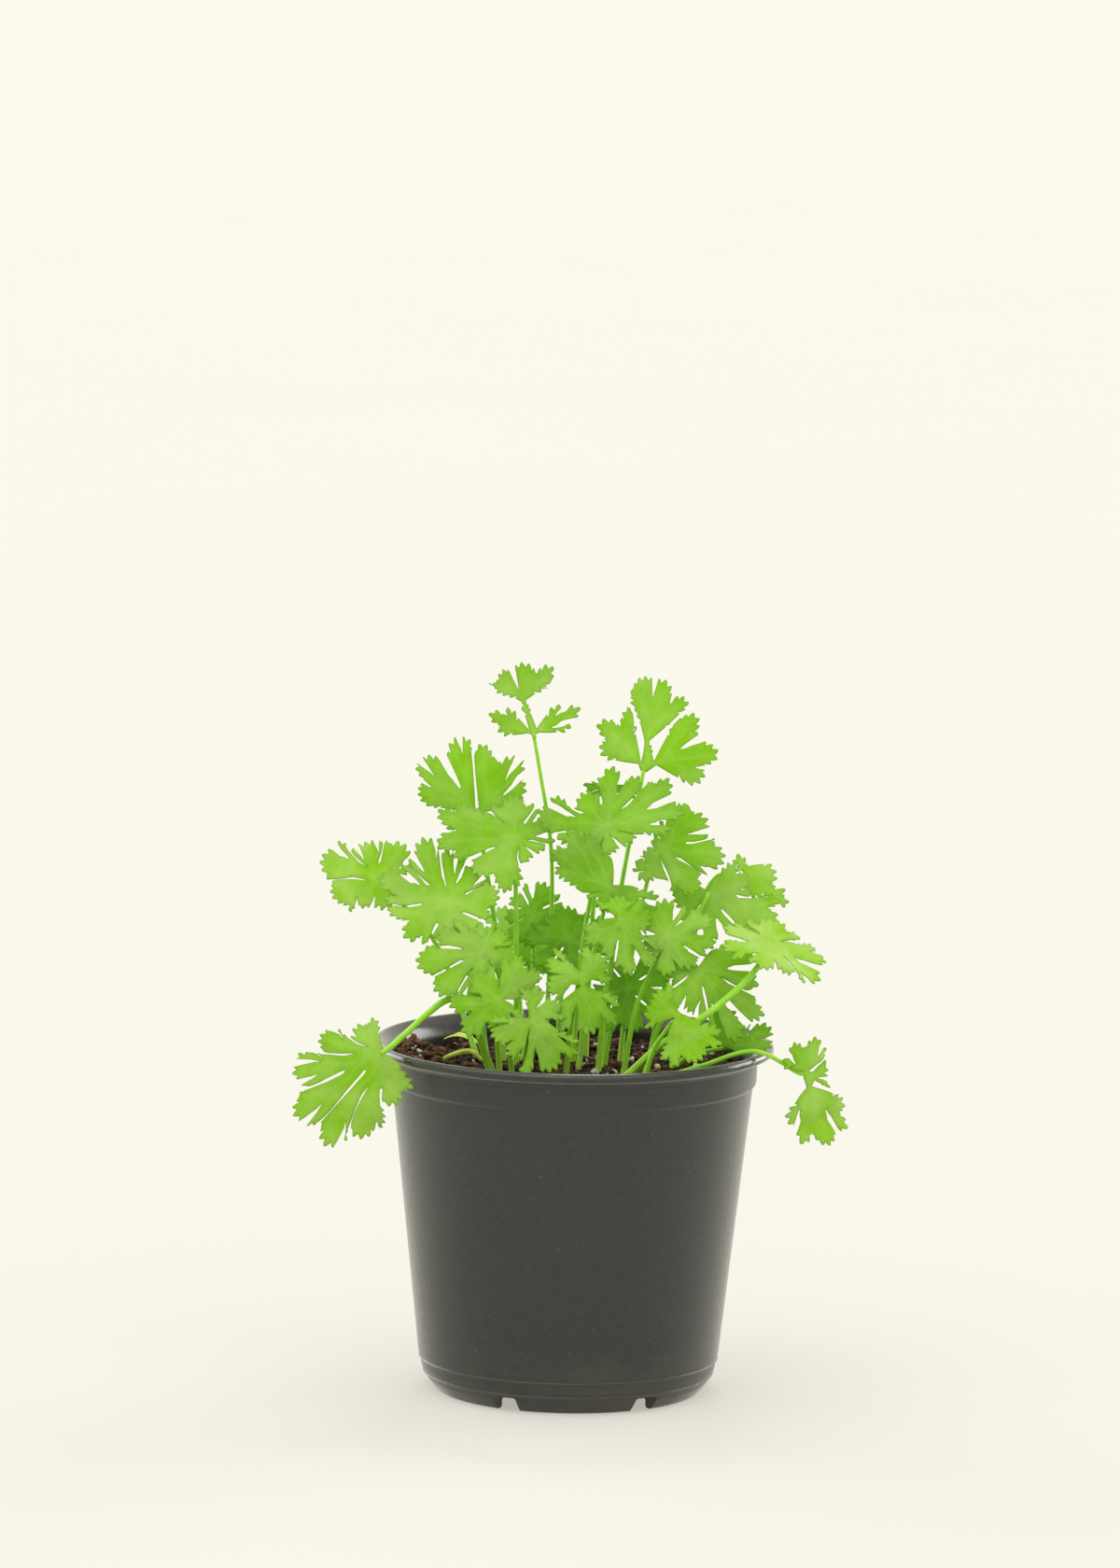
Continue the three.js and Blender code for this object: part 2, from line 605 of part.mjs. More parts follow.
LEAVES.forEach(({ foot, hub, via = [], stalk = STALK_WIDTH, leaflets }, i) => {
  const label = String(i + 1).padStart(2, '0');
  const joint = aboveLip(hub);
  const blade = makeBlade(leaflets);
  const points = stalkPoints({ foot, via: via.map(aboveLip), hub: joint }, blade, stalk);
  add(`stem_${label}`, makeStalk(points, stalk), STALK_GREEN);
  add(`leaf_${label}`, blade.geometry, LEAF_GREEN, joint);
});

// The dry seed leaf, a narrow curled strip that lies on the mix.
function makeSeedLeaf() {
  const contour = [];
  const heights = [];
  [1, -1].forEach((side) => {
    for (let i = 0; i < STRAW_POINTS; i += 1) {
      const share = (i + (side > 0 ? 0 : 1)) / STRAW_POINTS;
      const along = STRAW_LENGTH * (side > 0 ? 1 - share : share);
      const across = (STRAW_WIDTH / 2) * Math.sin(Math.PI * (0.1 + 0.8 * (along / STRAW_LENGTH)));
      contour.push(new THREE.Vector2(along, side * across));
      heights.push(STRAW_ARCH * Math.sin((Math.PI * along) / STRAW_LENGTH));
    }
  });
  const axes = new THREE.Matrix4().makeRotationZ(THREE.MathUtils.degToRad(STRAW_TURN));
  const plane = { u: new THREE.Vector3(), v: new THREE.Vector3(), normal: new THREE.Vector3() };
  axes.extractBasis(plane.u, plane.v, plane.normal);
  return plate(contour, heights, plane);
}

add('seed_leaf', makeSeedLeaf(), DRY_STRAW, new THREE.Vector3(
  ...STRAW_PLACE,
  soilTop(...STRAW_PLACE) + STRAW_LIFT,
));

// The bare stalk is bent over, with both ends on the mix.
const bareStalk = BARE_STALK_ARCH.map(([x, y, rise]) => new THREE.Vector3(x, y, soilTop(x, y) + rise));
add('bare_stalk', makeStalk(bareStalk, BARE_STALK_WIDTH), DRY_STRAW);

export default plant;
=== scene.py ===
# %% [markdown]
# # A potted coriander
#
# A young coriander plant stands in a round nursery pot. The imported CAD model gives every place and
# size: the pot, the mix, 28 leaf stalks and 28 leaf blades. This lesson loads that model, and then
# makes each piece again with the detail that the eye expects, such as toothed leaf edges, ribbed
# stalks, crumbs of bark and the soft shine of moulded plastic.

# %% Load the frame
import heapq
import math
import random

import bmesh
import bpy
import numpy as np
from mathutils import Matrix, Vector, geometry, kdtree, noise
from mathutils.bvhtree import BVHTree


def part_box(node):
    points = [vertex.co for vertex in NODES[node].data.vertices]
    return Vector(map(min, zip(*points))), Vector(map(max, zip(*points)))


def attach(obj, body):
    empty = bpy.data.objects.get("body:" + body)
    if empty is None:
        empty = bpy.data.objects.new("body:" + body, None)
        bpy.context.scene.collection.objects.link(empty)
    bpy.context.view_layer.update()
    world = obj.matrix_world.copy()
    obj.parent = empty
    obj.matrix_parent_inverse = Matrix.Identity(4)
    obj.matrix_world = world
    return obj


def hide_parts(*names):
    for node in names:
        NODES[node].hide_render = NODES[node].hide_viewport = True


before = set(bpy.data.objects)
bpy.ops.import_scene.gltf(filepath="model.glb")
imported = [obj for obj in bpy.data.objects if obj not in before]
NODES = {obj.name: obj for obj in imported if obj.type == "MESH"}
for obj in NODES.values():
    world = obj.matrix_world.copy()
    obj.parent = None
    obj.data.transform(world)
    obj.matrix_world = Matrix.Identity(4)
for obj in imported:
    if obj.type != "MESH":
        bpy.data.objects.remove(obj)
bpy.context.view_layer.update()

MM = 0.001
LEAF_LABELS = sorted(name[5:] for name in NODES if name.startswith("leaf_"))
POT_LOW, POT_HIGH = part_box("pot")
LIP_TOP = POT_HIGH.z
print("CAD nodes:", len(NODES), "leaves:", len(LEAF_LABELS), "lip at", round(LIP_TOP / MM, 1), "mm")

# %% [markdown]
# ## Camera, light and floor
#
# The plant is looked at from a little above, from far away with a long lens, so that upright things
# stay upright. The light is what studios call high key: a bright, pale room, soft
# lamps in front and above, and two low ones behind that brighten the sides of the pot. Shadows are
# faint. The floor is one wide disc that glows a little, so it is as bright as the room behind it.

# %% Camera
LONG_LENS = 219.3
CAMERA_DISTANCE = 3.0
CAMERA_PITCH = math.radians(8.1)
CAMERA_ROLL = math.radians(0.9)
CAMERA_AIM = Vector((-0.0054, 0.0, 0.193))

camera_data = bpy.data.cameras.new("camera")
camera_data.lens = LONG_LENS
camera_data.sensor_width = 36
camera_data.clip_start = 0.1
camera_data.clip_end = 60
camera = bpy.data.objects.new("camera", camera_data)
bpy.context.scene.collection.objects.link(camera)
away = Vector((0, -math.cos(CAMERA_PITCH), math.sin(CAMERA_PITCH))) * CAMERA_DISTANCE
turn = Matrix.Rotation(math.pi / 2 - CAMERA_PITCH, 4, "X") @ Matrix.Rotation(CAMERA_ROLL, 4, "Z")
camera.matrix_world = Matrix.Translation(CAMERA_AIM + away) @ turn
bpy.context.scene.camera = camera
bpy.context.scene.view_settings.view_transform = "Standard"
print("camera at", [round(c, 3) for c in camera.matrix_world.translation])

# %% Lamps and the pale room
ROOM_LIGHT = (0.965, 0.947, 0.838)


def add_sun(name, heading, height, strength, spread):
    """Even light from a wide patch of the room. Heading 0 comes from the front, 90 from the right."""
    data = bpy.data.lights.new(name, "SUN")
    data.energy = strength
    data.angle = math.radians(spread)
    lamp = bpy.data.objects.new(name, data)
    bpy.context.scene.collection.objects.link(lamp)
    turn = Matrix.Rotation(math.radians(heading), 4, "Z")
    lean = Matrix.Rotation(math.radians(90 - height), 4, "X")
    lamp.matrix_world = Matrix.Translation((0, 0, 1)) @ turn @ lean


add_sun("lamp_left", -60, 55, 0.8, 60)
add_sun("lamp_front", 20, 50, 0.9, 80)
add_sun("lamp_top", 175, 60, 0.5, 14)
add_sun("rim_left", -135, 10, 1.6, 44)
add_sun("rim_right", 126, 10, 2.2, 44)

world = bpy.data.worlds.new("pale_room")
world.use_nodes = True
bpy.context.scene.world = world
room = world.node_tree.nodes["Background"]
room.inputs["Color"].default_value = (*ROOM_LIGHT, 1)
room.inputs["Strength"].default_value = 1.0

# %% [markdown]
# ## Finishes shared by several materials
#
# Real surfaces are never one even colour. Soft patches of two tones and a fine grain that catches the
# light come back in every finish, and small specks of dust lie on the pot. Each is a shader node
# group with named inputs, built once, so a material only says how large and how strong it wants it.

# %% Node helpers
def new_group(name, inputs, outputs):
    """An empty shader node group with named sockets."""
    tree = bpy.data.node_groups.new(name, "ShaderNodeTree")
    for label, kind, value in inputs:
        socket = tree.interface.new_socket(label, in_out="INPUT", socket_type=kind)
        socket.default_value = value
    for label, kind in outputs:
        tree.interface.new_socket(label, in_out="OUTPUT", socket_type=kind)
    return tree, tree.nodes.new("NodeGroupInput"), tree.nodes.new("NodeGroupOutput")


def feed(tree, socket, source):
    """Gives an input a link if the source is a socket, and otherwise a plain value."""
    if isinstance(source, bpy.types.NodeSocket):
        tree.links.new(source, socket)
    else:
        socket.default_value = source


def add_node(tree, kind, sources):
    """A node whose inputs are fed by name."""
    node = tree.nodes.new(kind)
    for label, source in sources.items():
        feed(tree, node.inputs[label], source)
    return node


def mix_colors(tree, factor, first, second, blend="MIX"):
    """A colour mix. Each argument is a socket or a plain value."""
    node = tree.nodes.new("ShaderNodeMix")
    node.data_type = "RGBA"
    node.blend_type = blend
    for socket, source in ((0, factor), (6, first), (7, second)):
        feed(tree, node.inputs[socket], source)
    return node.outputs[2]


def calculate(tree, operation, first, second=0.0, clamp=False):
    """One step of arithmetic on values."""
    node = tree.nodes.new("ShaderNodeMath")
    node.operation = operation
    node.use_clamp = clamp
    feed(tree, node.inputs[0], first)
    feed(tree, node.inputs[1], second)
    return node.outputs[0]


def object_place(tree):
    """Coordinates that are fixed to the piece, in metres."""
    return tree.nodes.new("ShaderNodeTexCoord").outputs["Object"]


print("ready: new_group, feed, add_node, mix_colors, calculate, object_place")

# %% Group: patches
def make_patches():
    """Soft patches of two tones."""
    tree, given, result = new_group(
        "patches",
        [
            ("First", "NodeSocketColor", (0.5, 0.5, 0.5, 1)),
            ("Second", "NodeSocketColor", (0.4, 0.4, 0.4, 1)),
            ("Scale", "NodeSocketFloat", 100.0),
            ("Contrast", "NodeSocketFloat", 1.0),
        ],
        [("Color", "NodeSocketColor"), ("Mask", "NodeSocketFloat")],
    )
    cloud = add_node(tree, "ShaderNodeTexNoise", {
        "Vector": object_place(tree), "Scale": given.outputs["Scale"], "Detail": 4.0, "Roughness": 0.6,
    })
    centred = calculate(tree, "SUBTRACT", cloud.outputs["Fac"], 0.5)
    spread = calculate(tree, "MULTIPLY", centred, given.outputs["Contrast"])
    mask = calculate(tree, "ADD", calculate(tree, "MULTIPLY", spread, 3.0), 0.5, clamp=True)
    tree.links.new(
        mix_colors(tree, mask, given.outputs["First"], given.outputs["Second"]), result.inputs["Color"]
    )
    tree.links.new(mask, result.inputs["Mask"])
    return tree


PATCHES = make_patches()
print("group:", PATCHES.name)

# %% Group: specks
def make_specks():
    """Scattered small specks, each a little different in size."""
    tree, given, result = new_group(
        "specks",
        [
            ("Scale", "NodeSocketFloat", 500.0),
            ("Share", "NodeSocketFloat", 0.1),
            ("Size", "NodeSocketFloat", 0.2),
        ],
        [("Mask", "NodeSocketFloat")],
    )
    cells = add_node(tree, "ShaderNodeTexVoronoi", {
        "Vector": object_place(tree), "Scale": given.outputs["Scale"],
    })
    picked = add_node(tree, "ShaderNodeSeparateColor", {"Color": cells.outputs["Color"]})
    chosen = calculate(tree, "LESS_THAN", picked.outputs[0], given.outputs["Share"])
    reach = calculate(tree, "MULTIPLY", picked.outputs[1], given.outputs["Size"])
    near = calculate(tree, "LESS_THAN", cells.outputs["Distance"], reach)
    tree.links.new(calculate(tree, "MULTIPLY", chosen, near), result.inputs["Mask"])
    return tree


SPECKS = make_specks()
print("group:", SPECKS.name)

# %% Group: grain
def make_grain():
    """A fine uneven surface, as a normal."""
    tree, given, result = new_group(
        "grain",
        [
            ("Scale", "NodeSocketFloat", 900.0),
            ("Strength", "NodeSocketFloat", 0.3),
            ("Depth", "NodeSocketFloat", 0.0001),
        ],
        [("Normal", "NodeSocketVector"), ("Height", "NodeSocketFloat")],
    )
    rough = add_node(tree, "ShaderNodeTexNoise", {
        "Vector": object_place(tree), "Scale": given.outputs["Scale"], "Detail": 3.0, "Roughness": 0.55,
    })
    bump = add_node(tree, "ShaderNodeBump", {
        "Height": rough.outputs["Fac"],
        "Strength": given.outputs["Strength"],
        "Distance": given.outputs["Depth"],
    })
    tree.links.new(bump.outputs["Normal"], result.inputs["Normal"])
    tree.links.new(rough.outputs["Fac"], result.inputs["Height"])
    return tree


GRAIN = make_grain()
print("group:", GRAIN.name)

# %% Material helpers
def use_group(tree, group, **inputs):
    """Places a group in a material, with its values or links."""
    node = tree.nodes.new("ShaderNodeGroup")
    node.node_tree = group
    for label, source in inputs.items():
        feed(tree, node.inputs[label], source)
    return node


def new_material(name, roughness=0.5, specular=0.5):
    """A material with one Principled shader, its tree and the shader."""
    material = bpy.data.materials.new(name)
    material.use_nodes = True
    tree = material.node_tree
    shader = tree.nodes["Principled BSDF"]
    shader.inputs["Roughness"].default_value = roughness
    shader.inputs["Specular IOR Level"].default_value = specular
    return material, tree, shader


def finish_color(red, green, blue):
    """A colour given as it looks on a screen, turned into light values."""
    def linear(value):
        share = value / 255
        return share / 12.92 if share <= 0.04045 else ((share + 0.055) / 1.055) ** 2.4
    return (linear(red), linear(green), linear(blue), 1)


def two_tones(tree, first, second, scale, contrast):
    """Patches of two colours, each given as it looks on a screen."""
    first, second = finish_color(*first), finish_color(*second)
    return use_group(tree, PATCHES, First=first, Second=second, Scale=scale, Contrast=contrast)


def set_grain(tree, shader, scale, strength, depth):
    """Gives a shader a fine uneven surface."""
    grain = use_group(tree, GRAIN, Scale=scale, Strength=strength, Depth=depth)
    tree.links.new(grain.outputs["Normal"], shader.inputs["Normal"])
    return grain


def mesh_value(tree, name):
    """A value stored on the points of the mesh."""
    node = tree.nodes.new("ShaderNodeAttribute")
    node.attribute_name = name
    return node.outputs["Fac"]


print("ready: use_group, new_material, finish_color, two_tones, set_grain, mesh_value")

# %% Floor
FLOOR_RADIUS = 14
FLOOR_GLOW = (0.437, 0.424, 0.379)

floor_mesh = bpy.data.meshes.new("floor")
floor_shape = bmesh.new()
bmesh.ops.create_circle(floor_shape, cap_ends=True, segments=96, radius=FLOOR_RADIUS)
floor_shape.to_mesh(floor_mesh)
floor_shape.free()
floor = bpy.data.objects.new("floor", floor_mesh)
bpy.context.scene.collection.objects.link(floor)
floor_paper, tree, shader = new_material("floor_paper", roughness=0.9, specular=0.1)
paper = use_group(
    tree, PATCHES, First=(0.283, 0.283, 0.265, 1), Second=(0.279, 0.279, 0.261, 1), Scale=3.0, Contrast=0.5
)
tree.links.new(paper.outputs["Color"], shader.inputs["Base Color"])
shader.inputs["Emission Color"].default_value = (*FLOOR_GLOW, 1)
shader.inputs["Emission Strength"].default_value = 1.0
floor_mesh.materials.append(floor_paper)
print("floor:", len(floor_mesh.vertices), "points")

# %% [markdown]
# ## Mesh helpers
#
# Every piece below is worked out as lists of points and faces, and then handed to Blender in one
# go. That is quicker than edit-mode tools for shapes that follow a rule, and the rule stays readable.

# %% Build a piece
def build_piece(name, points, faces, material, stands_for=(), smooth=True, values=None):
    """Makes a mesh object that rides on the plant, with its material and stored values."""
    mesh = bpy.data.meshes.new(name)
    mesh.from_pydata([tuple(p) for p in points], [], [tuple(f) for f in faces])
    mesh.validate(clean_customdata=False)
    mesh.materials.append(material)
    if smooth:
        mesh.shade_smooth()
    for label, numbers in (values or {}).items():
        stored = mesh.attributes.new(label, "FLOAT", "POINT")
        stored.data.foreach_set("value", np.asarray(numbers, dtype=np.float32))
    piece = bpy.data.objects.new(name, mesh)
    bpy.context.scene.collection.objects.link(piece)
    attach(piece, "root")
    if stands_for:
        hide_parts(*stands_for)
    return piece


def welded(node):
    """A CAD node's points and triangles, with the points that share a place joined."""
    mesh = NODES[node].data
    places = {}
    points = []
    where = []
    for vertex in mesh.vertices:
        key = tuple(round(c * 1e6) for c in vertex.co)
        if key not in places:
            places[key] = len(points)
            points.append(vertex.co.copy())
        where.append(places[key])
    faces = []
    for polygon in mesh.polygons:
        corners = [where[i] for i in polygon.vertices]
        for k in range(1, len(corners) - 1):
            triangle = (corners[0], corners[k], corners[k + 1])
            if len(set(triangle)) == 3:
                faces.append(triangle)
    return points, faces


def smooth_path(points, step):
    """A centripetal Catmull-Rom curve through points, as evenly spaced places along it."""
    points = [np.array(p, dtype=float) for p in points]
    ends = [2 * points[0] - points[1]] + points + [2 * points[-1] - points[-2]]
    dense = []
    for a, b, c, d in zip(ends, ends[1:], ends[2:], ends[3:]):
        knots = [0.0]
        for p, q in ((a, b), (b, c), (c, d)):
            knots.append(knots[-1] + max(np.linalg.norm(q - p), 1e-9) ** 0.5)
        count = max(2, int(np.linalg.norm(c - b) / step * 2))
        for k in range(count):
            t = knots[1] + (knots[2] - knots[1]) * k / count
            level = [a, b, c, d]
            for width in (1, 2, 3):
                level = [
                    ((knots[i + width] - t) * level[i] + (t - knots[i]) * level[i + 1])
                    / (knots[i + width] - knots[i])
                    for i in range(len(level) - 1)
                ]
            dense.append(level[0])
    dense.append(points[-1])
    dense = np.array(dense)
    lengths = np.concatenate([[0], np.cumsum(np.linalg.norm(np.diff(dense, axis=0), axis=1))])
    count = max(2, int(round(lengths[-1] / step)) + 1)
    wanted = np.linspace(0, lengths[-1], count)
    return np.stack([np.interp(wanted, lengths, dense[:, k]) for k in range(dense.shape[1])], axis=1)


print("mesh helpers ready")

# %% [markdown]
# ## The pot
#
# The real pot is injection moulded from dark, warm grey plastic. Its wall tapers to a heel, a collar
# and a rolled lip stiffen the rim, and six notches at the foot let water out. A surface of
# revolution is the natural tool: the CAD mesh already holds the profile, so it is read from there,
# its corners are rounded as a mould would leave them, two thin beads are added near the foot, and it
# is turned round the axis in fine steps. The notches are then cut out with one Boolean.

# %% Read the profile of the pot
POT_STEPS = 216
PROFILE_ANGLE = math.radians(30)


def pot_profile():
    """The pot's profile as (radius, height), from the middle underneath to the middle inside."""
    points, faces = welded("pot")
    on_line = {}
    for i, p in enumerate(points):
        radius = math.hypot(p.x, p.y)
        if radius < 1e-6 or abs(math.atan2(p.y, p.x) - PROFILE_ANGLE) < 1e-4:
            on_line[i] = (radius, p.z)
    joined = {i: set() for i in on_line}
    for face in faces:
        for a, b in ((face[0], face[1]), (face[1], face[2]), (face[2], face[0])):
            if a in on_line and b in on_line:
                joined[a].add(b)
                joined[b].add(a)
    start = min((i for i in on_line if on_line[i][0] < 1e-6), key=lambda i: on_line[i][1])
    path = [start]
    while True:
        onward = [i for i in joined[path[-1]] if i not in path]
        if not onward:
            break
        path.append(min(onward, key=lambda i: (Vector(on_line[i]) - Vector(on_line[path[-1]])).length))
    return [np.array(on_line[i]) for i in path]


def round_corners(profile, largest, rounds=3):
    """Cuts each corner back a little, several times, which leaves a small round fillet."""
    for _ in range(rounds):
        cut = [profile[0]]
        for before, corner, after in zip(profile, profile[1:], profile[2:]):
            for other in (before, after):
                span = np.linalg.norm(other - corner)
                cut.append(corner + (other - corner) * min(0.25, largest / span))
        cut.append(profile[-1])
        profile = cut
        largest *= 0.5
    return profile


def with_bead(profile, height, out, thick):
    """A small moulded bead round the outside of the wall at a height."""
    changed = []
    placed = False
    for a, b in zip(profile, profile[1:]):
        changed.append(a)
        if not placed and a[1] < height - thick and b[1] > height + thick and a[0] > 0.03:
            slope = (b[0] - a[0]) / (b[1] - a[1])
            for step, rise in ((0, -1), (out, -0.4), (out, 0.4), (0, 1)):
                z = height + rise * thick
                changed.append(np.array([a[0] + slope * (z - a[1]) + step, z]))
            placed = True
    changed.append(profile[-1])
    return changed


LOW_BEADS = (5.7 * MM, 10.4 * MM)
BEAD_OUT = 0.3 * MM
BEAD_HALF = 0.45 * MM
profile = round_corners(pot_profile(), 0.6 * MM)
for height in LOW_BEADS:
    profile = with_bead(profile, height, BEAD_OUT, BEAD_HALF)
print("profile points:", len(profile), "widest", round(max(p[0] for p in profile) / MM, 2), "mm")

# %% Turn the profile into the pot
def turned(profile, steps):
    """A closed surface of revolution about Z whose profile starts and ends on the axis."""
    points = [(0, 0, profile[0][1])]
    for radius, height in profile[1:-1]:
        for k in range(steps):
            angle = 2 * math.pi * k / steps
            points.append((radius * math.cos(angle), radius * math.sin(angle), height))
    points.append((0, 0, profile[-1][1]))
    rows = len(profile) - 2
    last = len(points) - 1
    faces = []
    for k in range(steps):
        after = (k + 1) % steps
        faces.append((0, 1 + after, 1 + k))
        for row in range(rows - 1):
            low, high = 1 + row * steps, 1 + (row + 1) * steps
            faces.append((low + k, low + after, high + after, high + k))
        final = 1 + (rows - 1) * steps
        faces.append((last, final + k, final + after))
    return points, faces


def notch_blocks():
    """Blocks for the drainage notches, measured on the CAD pot where its ring of facets is broken."""
    points, _ = welded("pot")
    broken = []
    for p in points:
        radius = math.hypot(p.x, p.y)
        facet = math.degrees(math.atan2(p.y, p.x)) / 6
        if radius > 1e-3 and abs(facet - round(facet)) > 1e-3:
            broken.append(p)
    turns = np.array([math.degrees(math.atan2(p.y, p.x)) % 60 for p in broken])
    middle = math.degrees(np.angle(np.mean(np.exp(1j * np.radians(turns * 6))))) / 6
    high = max(p.z for p in broken)
    first = [p for p in broken if abs(math.degrees(math.atan2(p.y, p.x)) - middle) < 12]
    across = [-p.x * math.sin(math.radians(middle)) + p.y * math.cos(math.radians(middle)) for p in first]
    radii = [math.hypot(p.x, p.y) for p in broken]
    half = (max(across) - min(across)) / 2
    print("notches: turned", round(middle, 1), "width", round(2 * half / MM, 1), "top", round(high / MM, 1))
    shape = bmesh.new()
    for k in range(6):
        made = bmesh.ops.create_cube(shape, size=1)["verts"]
        deep = (max(radii) - min(radii)) + 4 * MM
        size = Matrix.Diagonal((deep, 2 * half, 2 * high, 1))
        shift = Matrix.Translation(((max(radii) + min(radii)) / 2, 0, 0))
        spin = Matrix.Rotation(math.radians(middle + 60 * k), 4, "Z")
        bmesh.ops.transform(shape, matrix=spin @ shift @ size, verts=made)
    upright = [e for e in shape.edges if max(v.co.z for v in e.verts) > 0.9 * high]
    bmesh.ops.bevel(shape, geom=upright, offset=0.8 * MM, segments=3, affect="EDGES", profile=0.5)
    mesh = bpy.data.meshes.new("notch_blocks")
    shape.to_mesh(mesh)
    shape.free()
    return bpy.data.objects.new("notch_blocks", mesh)


# %% Plastic of the pot
LIP_BAND = 5.5 * MM


def make_pot_plastic():
    """Warm dark grey moulded plastic: satin, shinier on the lip, mottled, and dusty near the foot."""
    material, tree, shader = new_material("pot_plastic", roughness=0.36, specular=0.6)
    body = two_tones(tree, (26, 27, 23), (36, 37, 32), 600.0, 1.0)
    place = tree.nodes.new("ShaderNodeSeparateXYZ")
    tree.links.new(object_place(tree), place.inputs[0])
    low = calculate(tree, "SUBTRACT", 1.0, calculate(tree, "MULTIPLY", place.outputs[2], 45.0), clamp=True)
    drift = use_group(tree, PATCHES, Scale=60.0, Contrast=1.4)
    dusty = calculate(tree, "MULTIPLY", calculate(tree, "MULTIPLY", low, drift.outputs["Mask"]), 0.35)
    dirty = mix_colors(tree, dusty, body.outputs["Color"], finish_color(84, 80, 68))
    fine = use_group(tree, SPECKS, Scale=520.0, Share=0.16, Size=0.22)
    speckled = mix_colors(
        tree, calculate(tree, "MULTIPLY", fine.outputs["Mask"], 0.35), dirty, finish_color(90, 90, 82)
    )
    crumbs = use_group(tree, SPECKS, Scale=120.0, Share=0.035, Size=0.12)
    dotted = mix_colors(tree, crumbs.outputs["Mask"], speckled, finish_color(226, 224, 214))
    tree.links.new(dotted, shader.inputs["Base Color"])
    lip = calculate(tree, "SUBTRACT", place.outputs[2], LIP_TOP - LIP_BAND)
    polish = calculate(tree, "MULTIPLY", calculate(tree, "MULTIPLY", lip, 500.0, clamp=True), -0.2)
    gloss = calculate(tree, "ADD", calculate(tree, "MULTIPLY", body.outputs["Mask"], 0.1), 0.3)
    gloss = calculate(tree, "ADD", gloss, polish)
    tree.links.new(calculate(tree, "ADD", gloss, dusty), shader.inputs["Roughness"])
    shader.inputs["Sheen Weight"].default_value = 0.5
    shader.inputs["Sheen Roughness"].default_value = 0.3
    shader.inputs["Sheen Tint"].default_value = (1.0, 0.97, 0.88, 1)
    set_grain(tree, shader, 1100.0, 0.4, 0.00014)
    return material


POT_PLASTIC = make_pot_plastic()
points, faces = turned(profile, POT_STEPS)
pot = build_piece("nursery_pot", points, faces, POT_PLASTIC, ("pot",))
cutter = notch_blocks()
bpy.context.scene.collection.objects.link(cutter)
cut = pot.modifiers.new("notches", "BOOLEAN")
cut.operation = "DIFFERENCE"
cut.solver = "EXACT"
cut.object = cutter
bpy.context.view_layer.update()
carved = bpy.data.meshes.new_from_object(pot.evaluated_get(bpy.context.evaluated_depsgraph_get()))
pot.modifiers.clear()
pot.data = carved
bpy.data.objects.remove(cutter)
carved.shade_smooth()
carved.set_sharp_from_angle(angle=math.radians(40))
print("nursery_pot:", len(carved.vertices), "points")

# %% [markdown]
# ## The potting mix
#
# Potting mix is peat and coir with chips of bark and white grains of perlite. A smooth disc never
# looks like it, because the eye reads the single crumbs. So the surface is made in two layers: a
# disc raised and lowered by noise at the size of crumbs, and loose chips, fibres and grains lying on
# it. The large shape, with its heap at the left, is read from the CAD piece by dropping rays on it.

# %% The height of the mix
soil_points, soil_faces = welded("soil")
soil_tree = BVHTree.FromPolygons(soil_points, soil_faces)
SOIL_RADIUS = max(math.hypot(p.x, p.y) for p in soil_points)


def soil_height(x, y):
    """Height of the CAD mix under a place."""
    reach = min(1.0, (SOIL_RADIUS - 0.4 * MM) / max(math.hypot(x, y), 1e-9))
    hit = soil_tree.ray_cast(Vector((x * reach, y * reach, 1)), Vector((0, 0, -1)))[0]
    return hit.z


def crumbly(x, y):
    """Uneven height of crumbs, on top of the large shape."""
    place = Vector((x / MM, y / MM, 0))
    coarse = noise.noise(place * 0.22) * 1.5
    middle = noise.noise(place * 0.55 + Vector((7, 3, 1))) * 1.1
    fine = noise.noise(place * 1.3 + Vector((1, 9, 4))) * 0.45
    return (coarse + middle + fine) * MM


print("mix: radius", round(SOIL_RADIUS / MM, 1), "height", round(soil_height(0, 0) / MM, 1), "mm")

# %% The surface of the mix
def hexagon_grid(reach, spacing, rng, jitter=0.0):
    """Places on a triangular grid inside a circle."""
    places = []
    rows = int(reach / (spacing * 0.866)) + 1
    for row in range(-rows, rows + 1):
        y = row * spacing * 0.866
        columns = int(reach / spacing) + 1
        for column in range(-columns, columns + 1):
            x = (column + 0.5 * (row % 2)) * spacing
            x += rng.uniform(-jitter, jitter) * spacing
            v = y + rng.uniform(-jitter, jitter) * spacing
            if math.hypot(x, v) < reach:
                places.append((x, v))
    return places


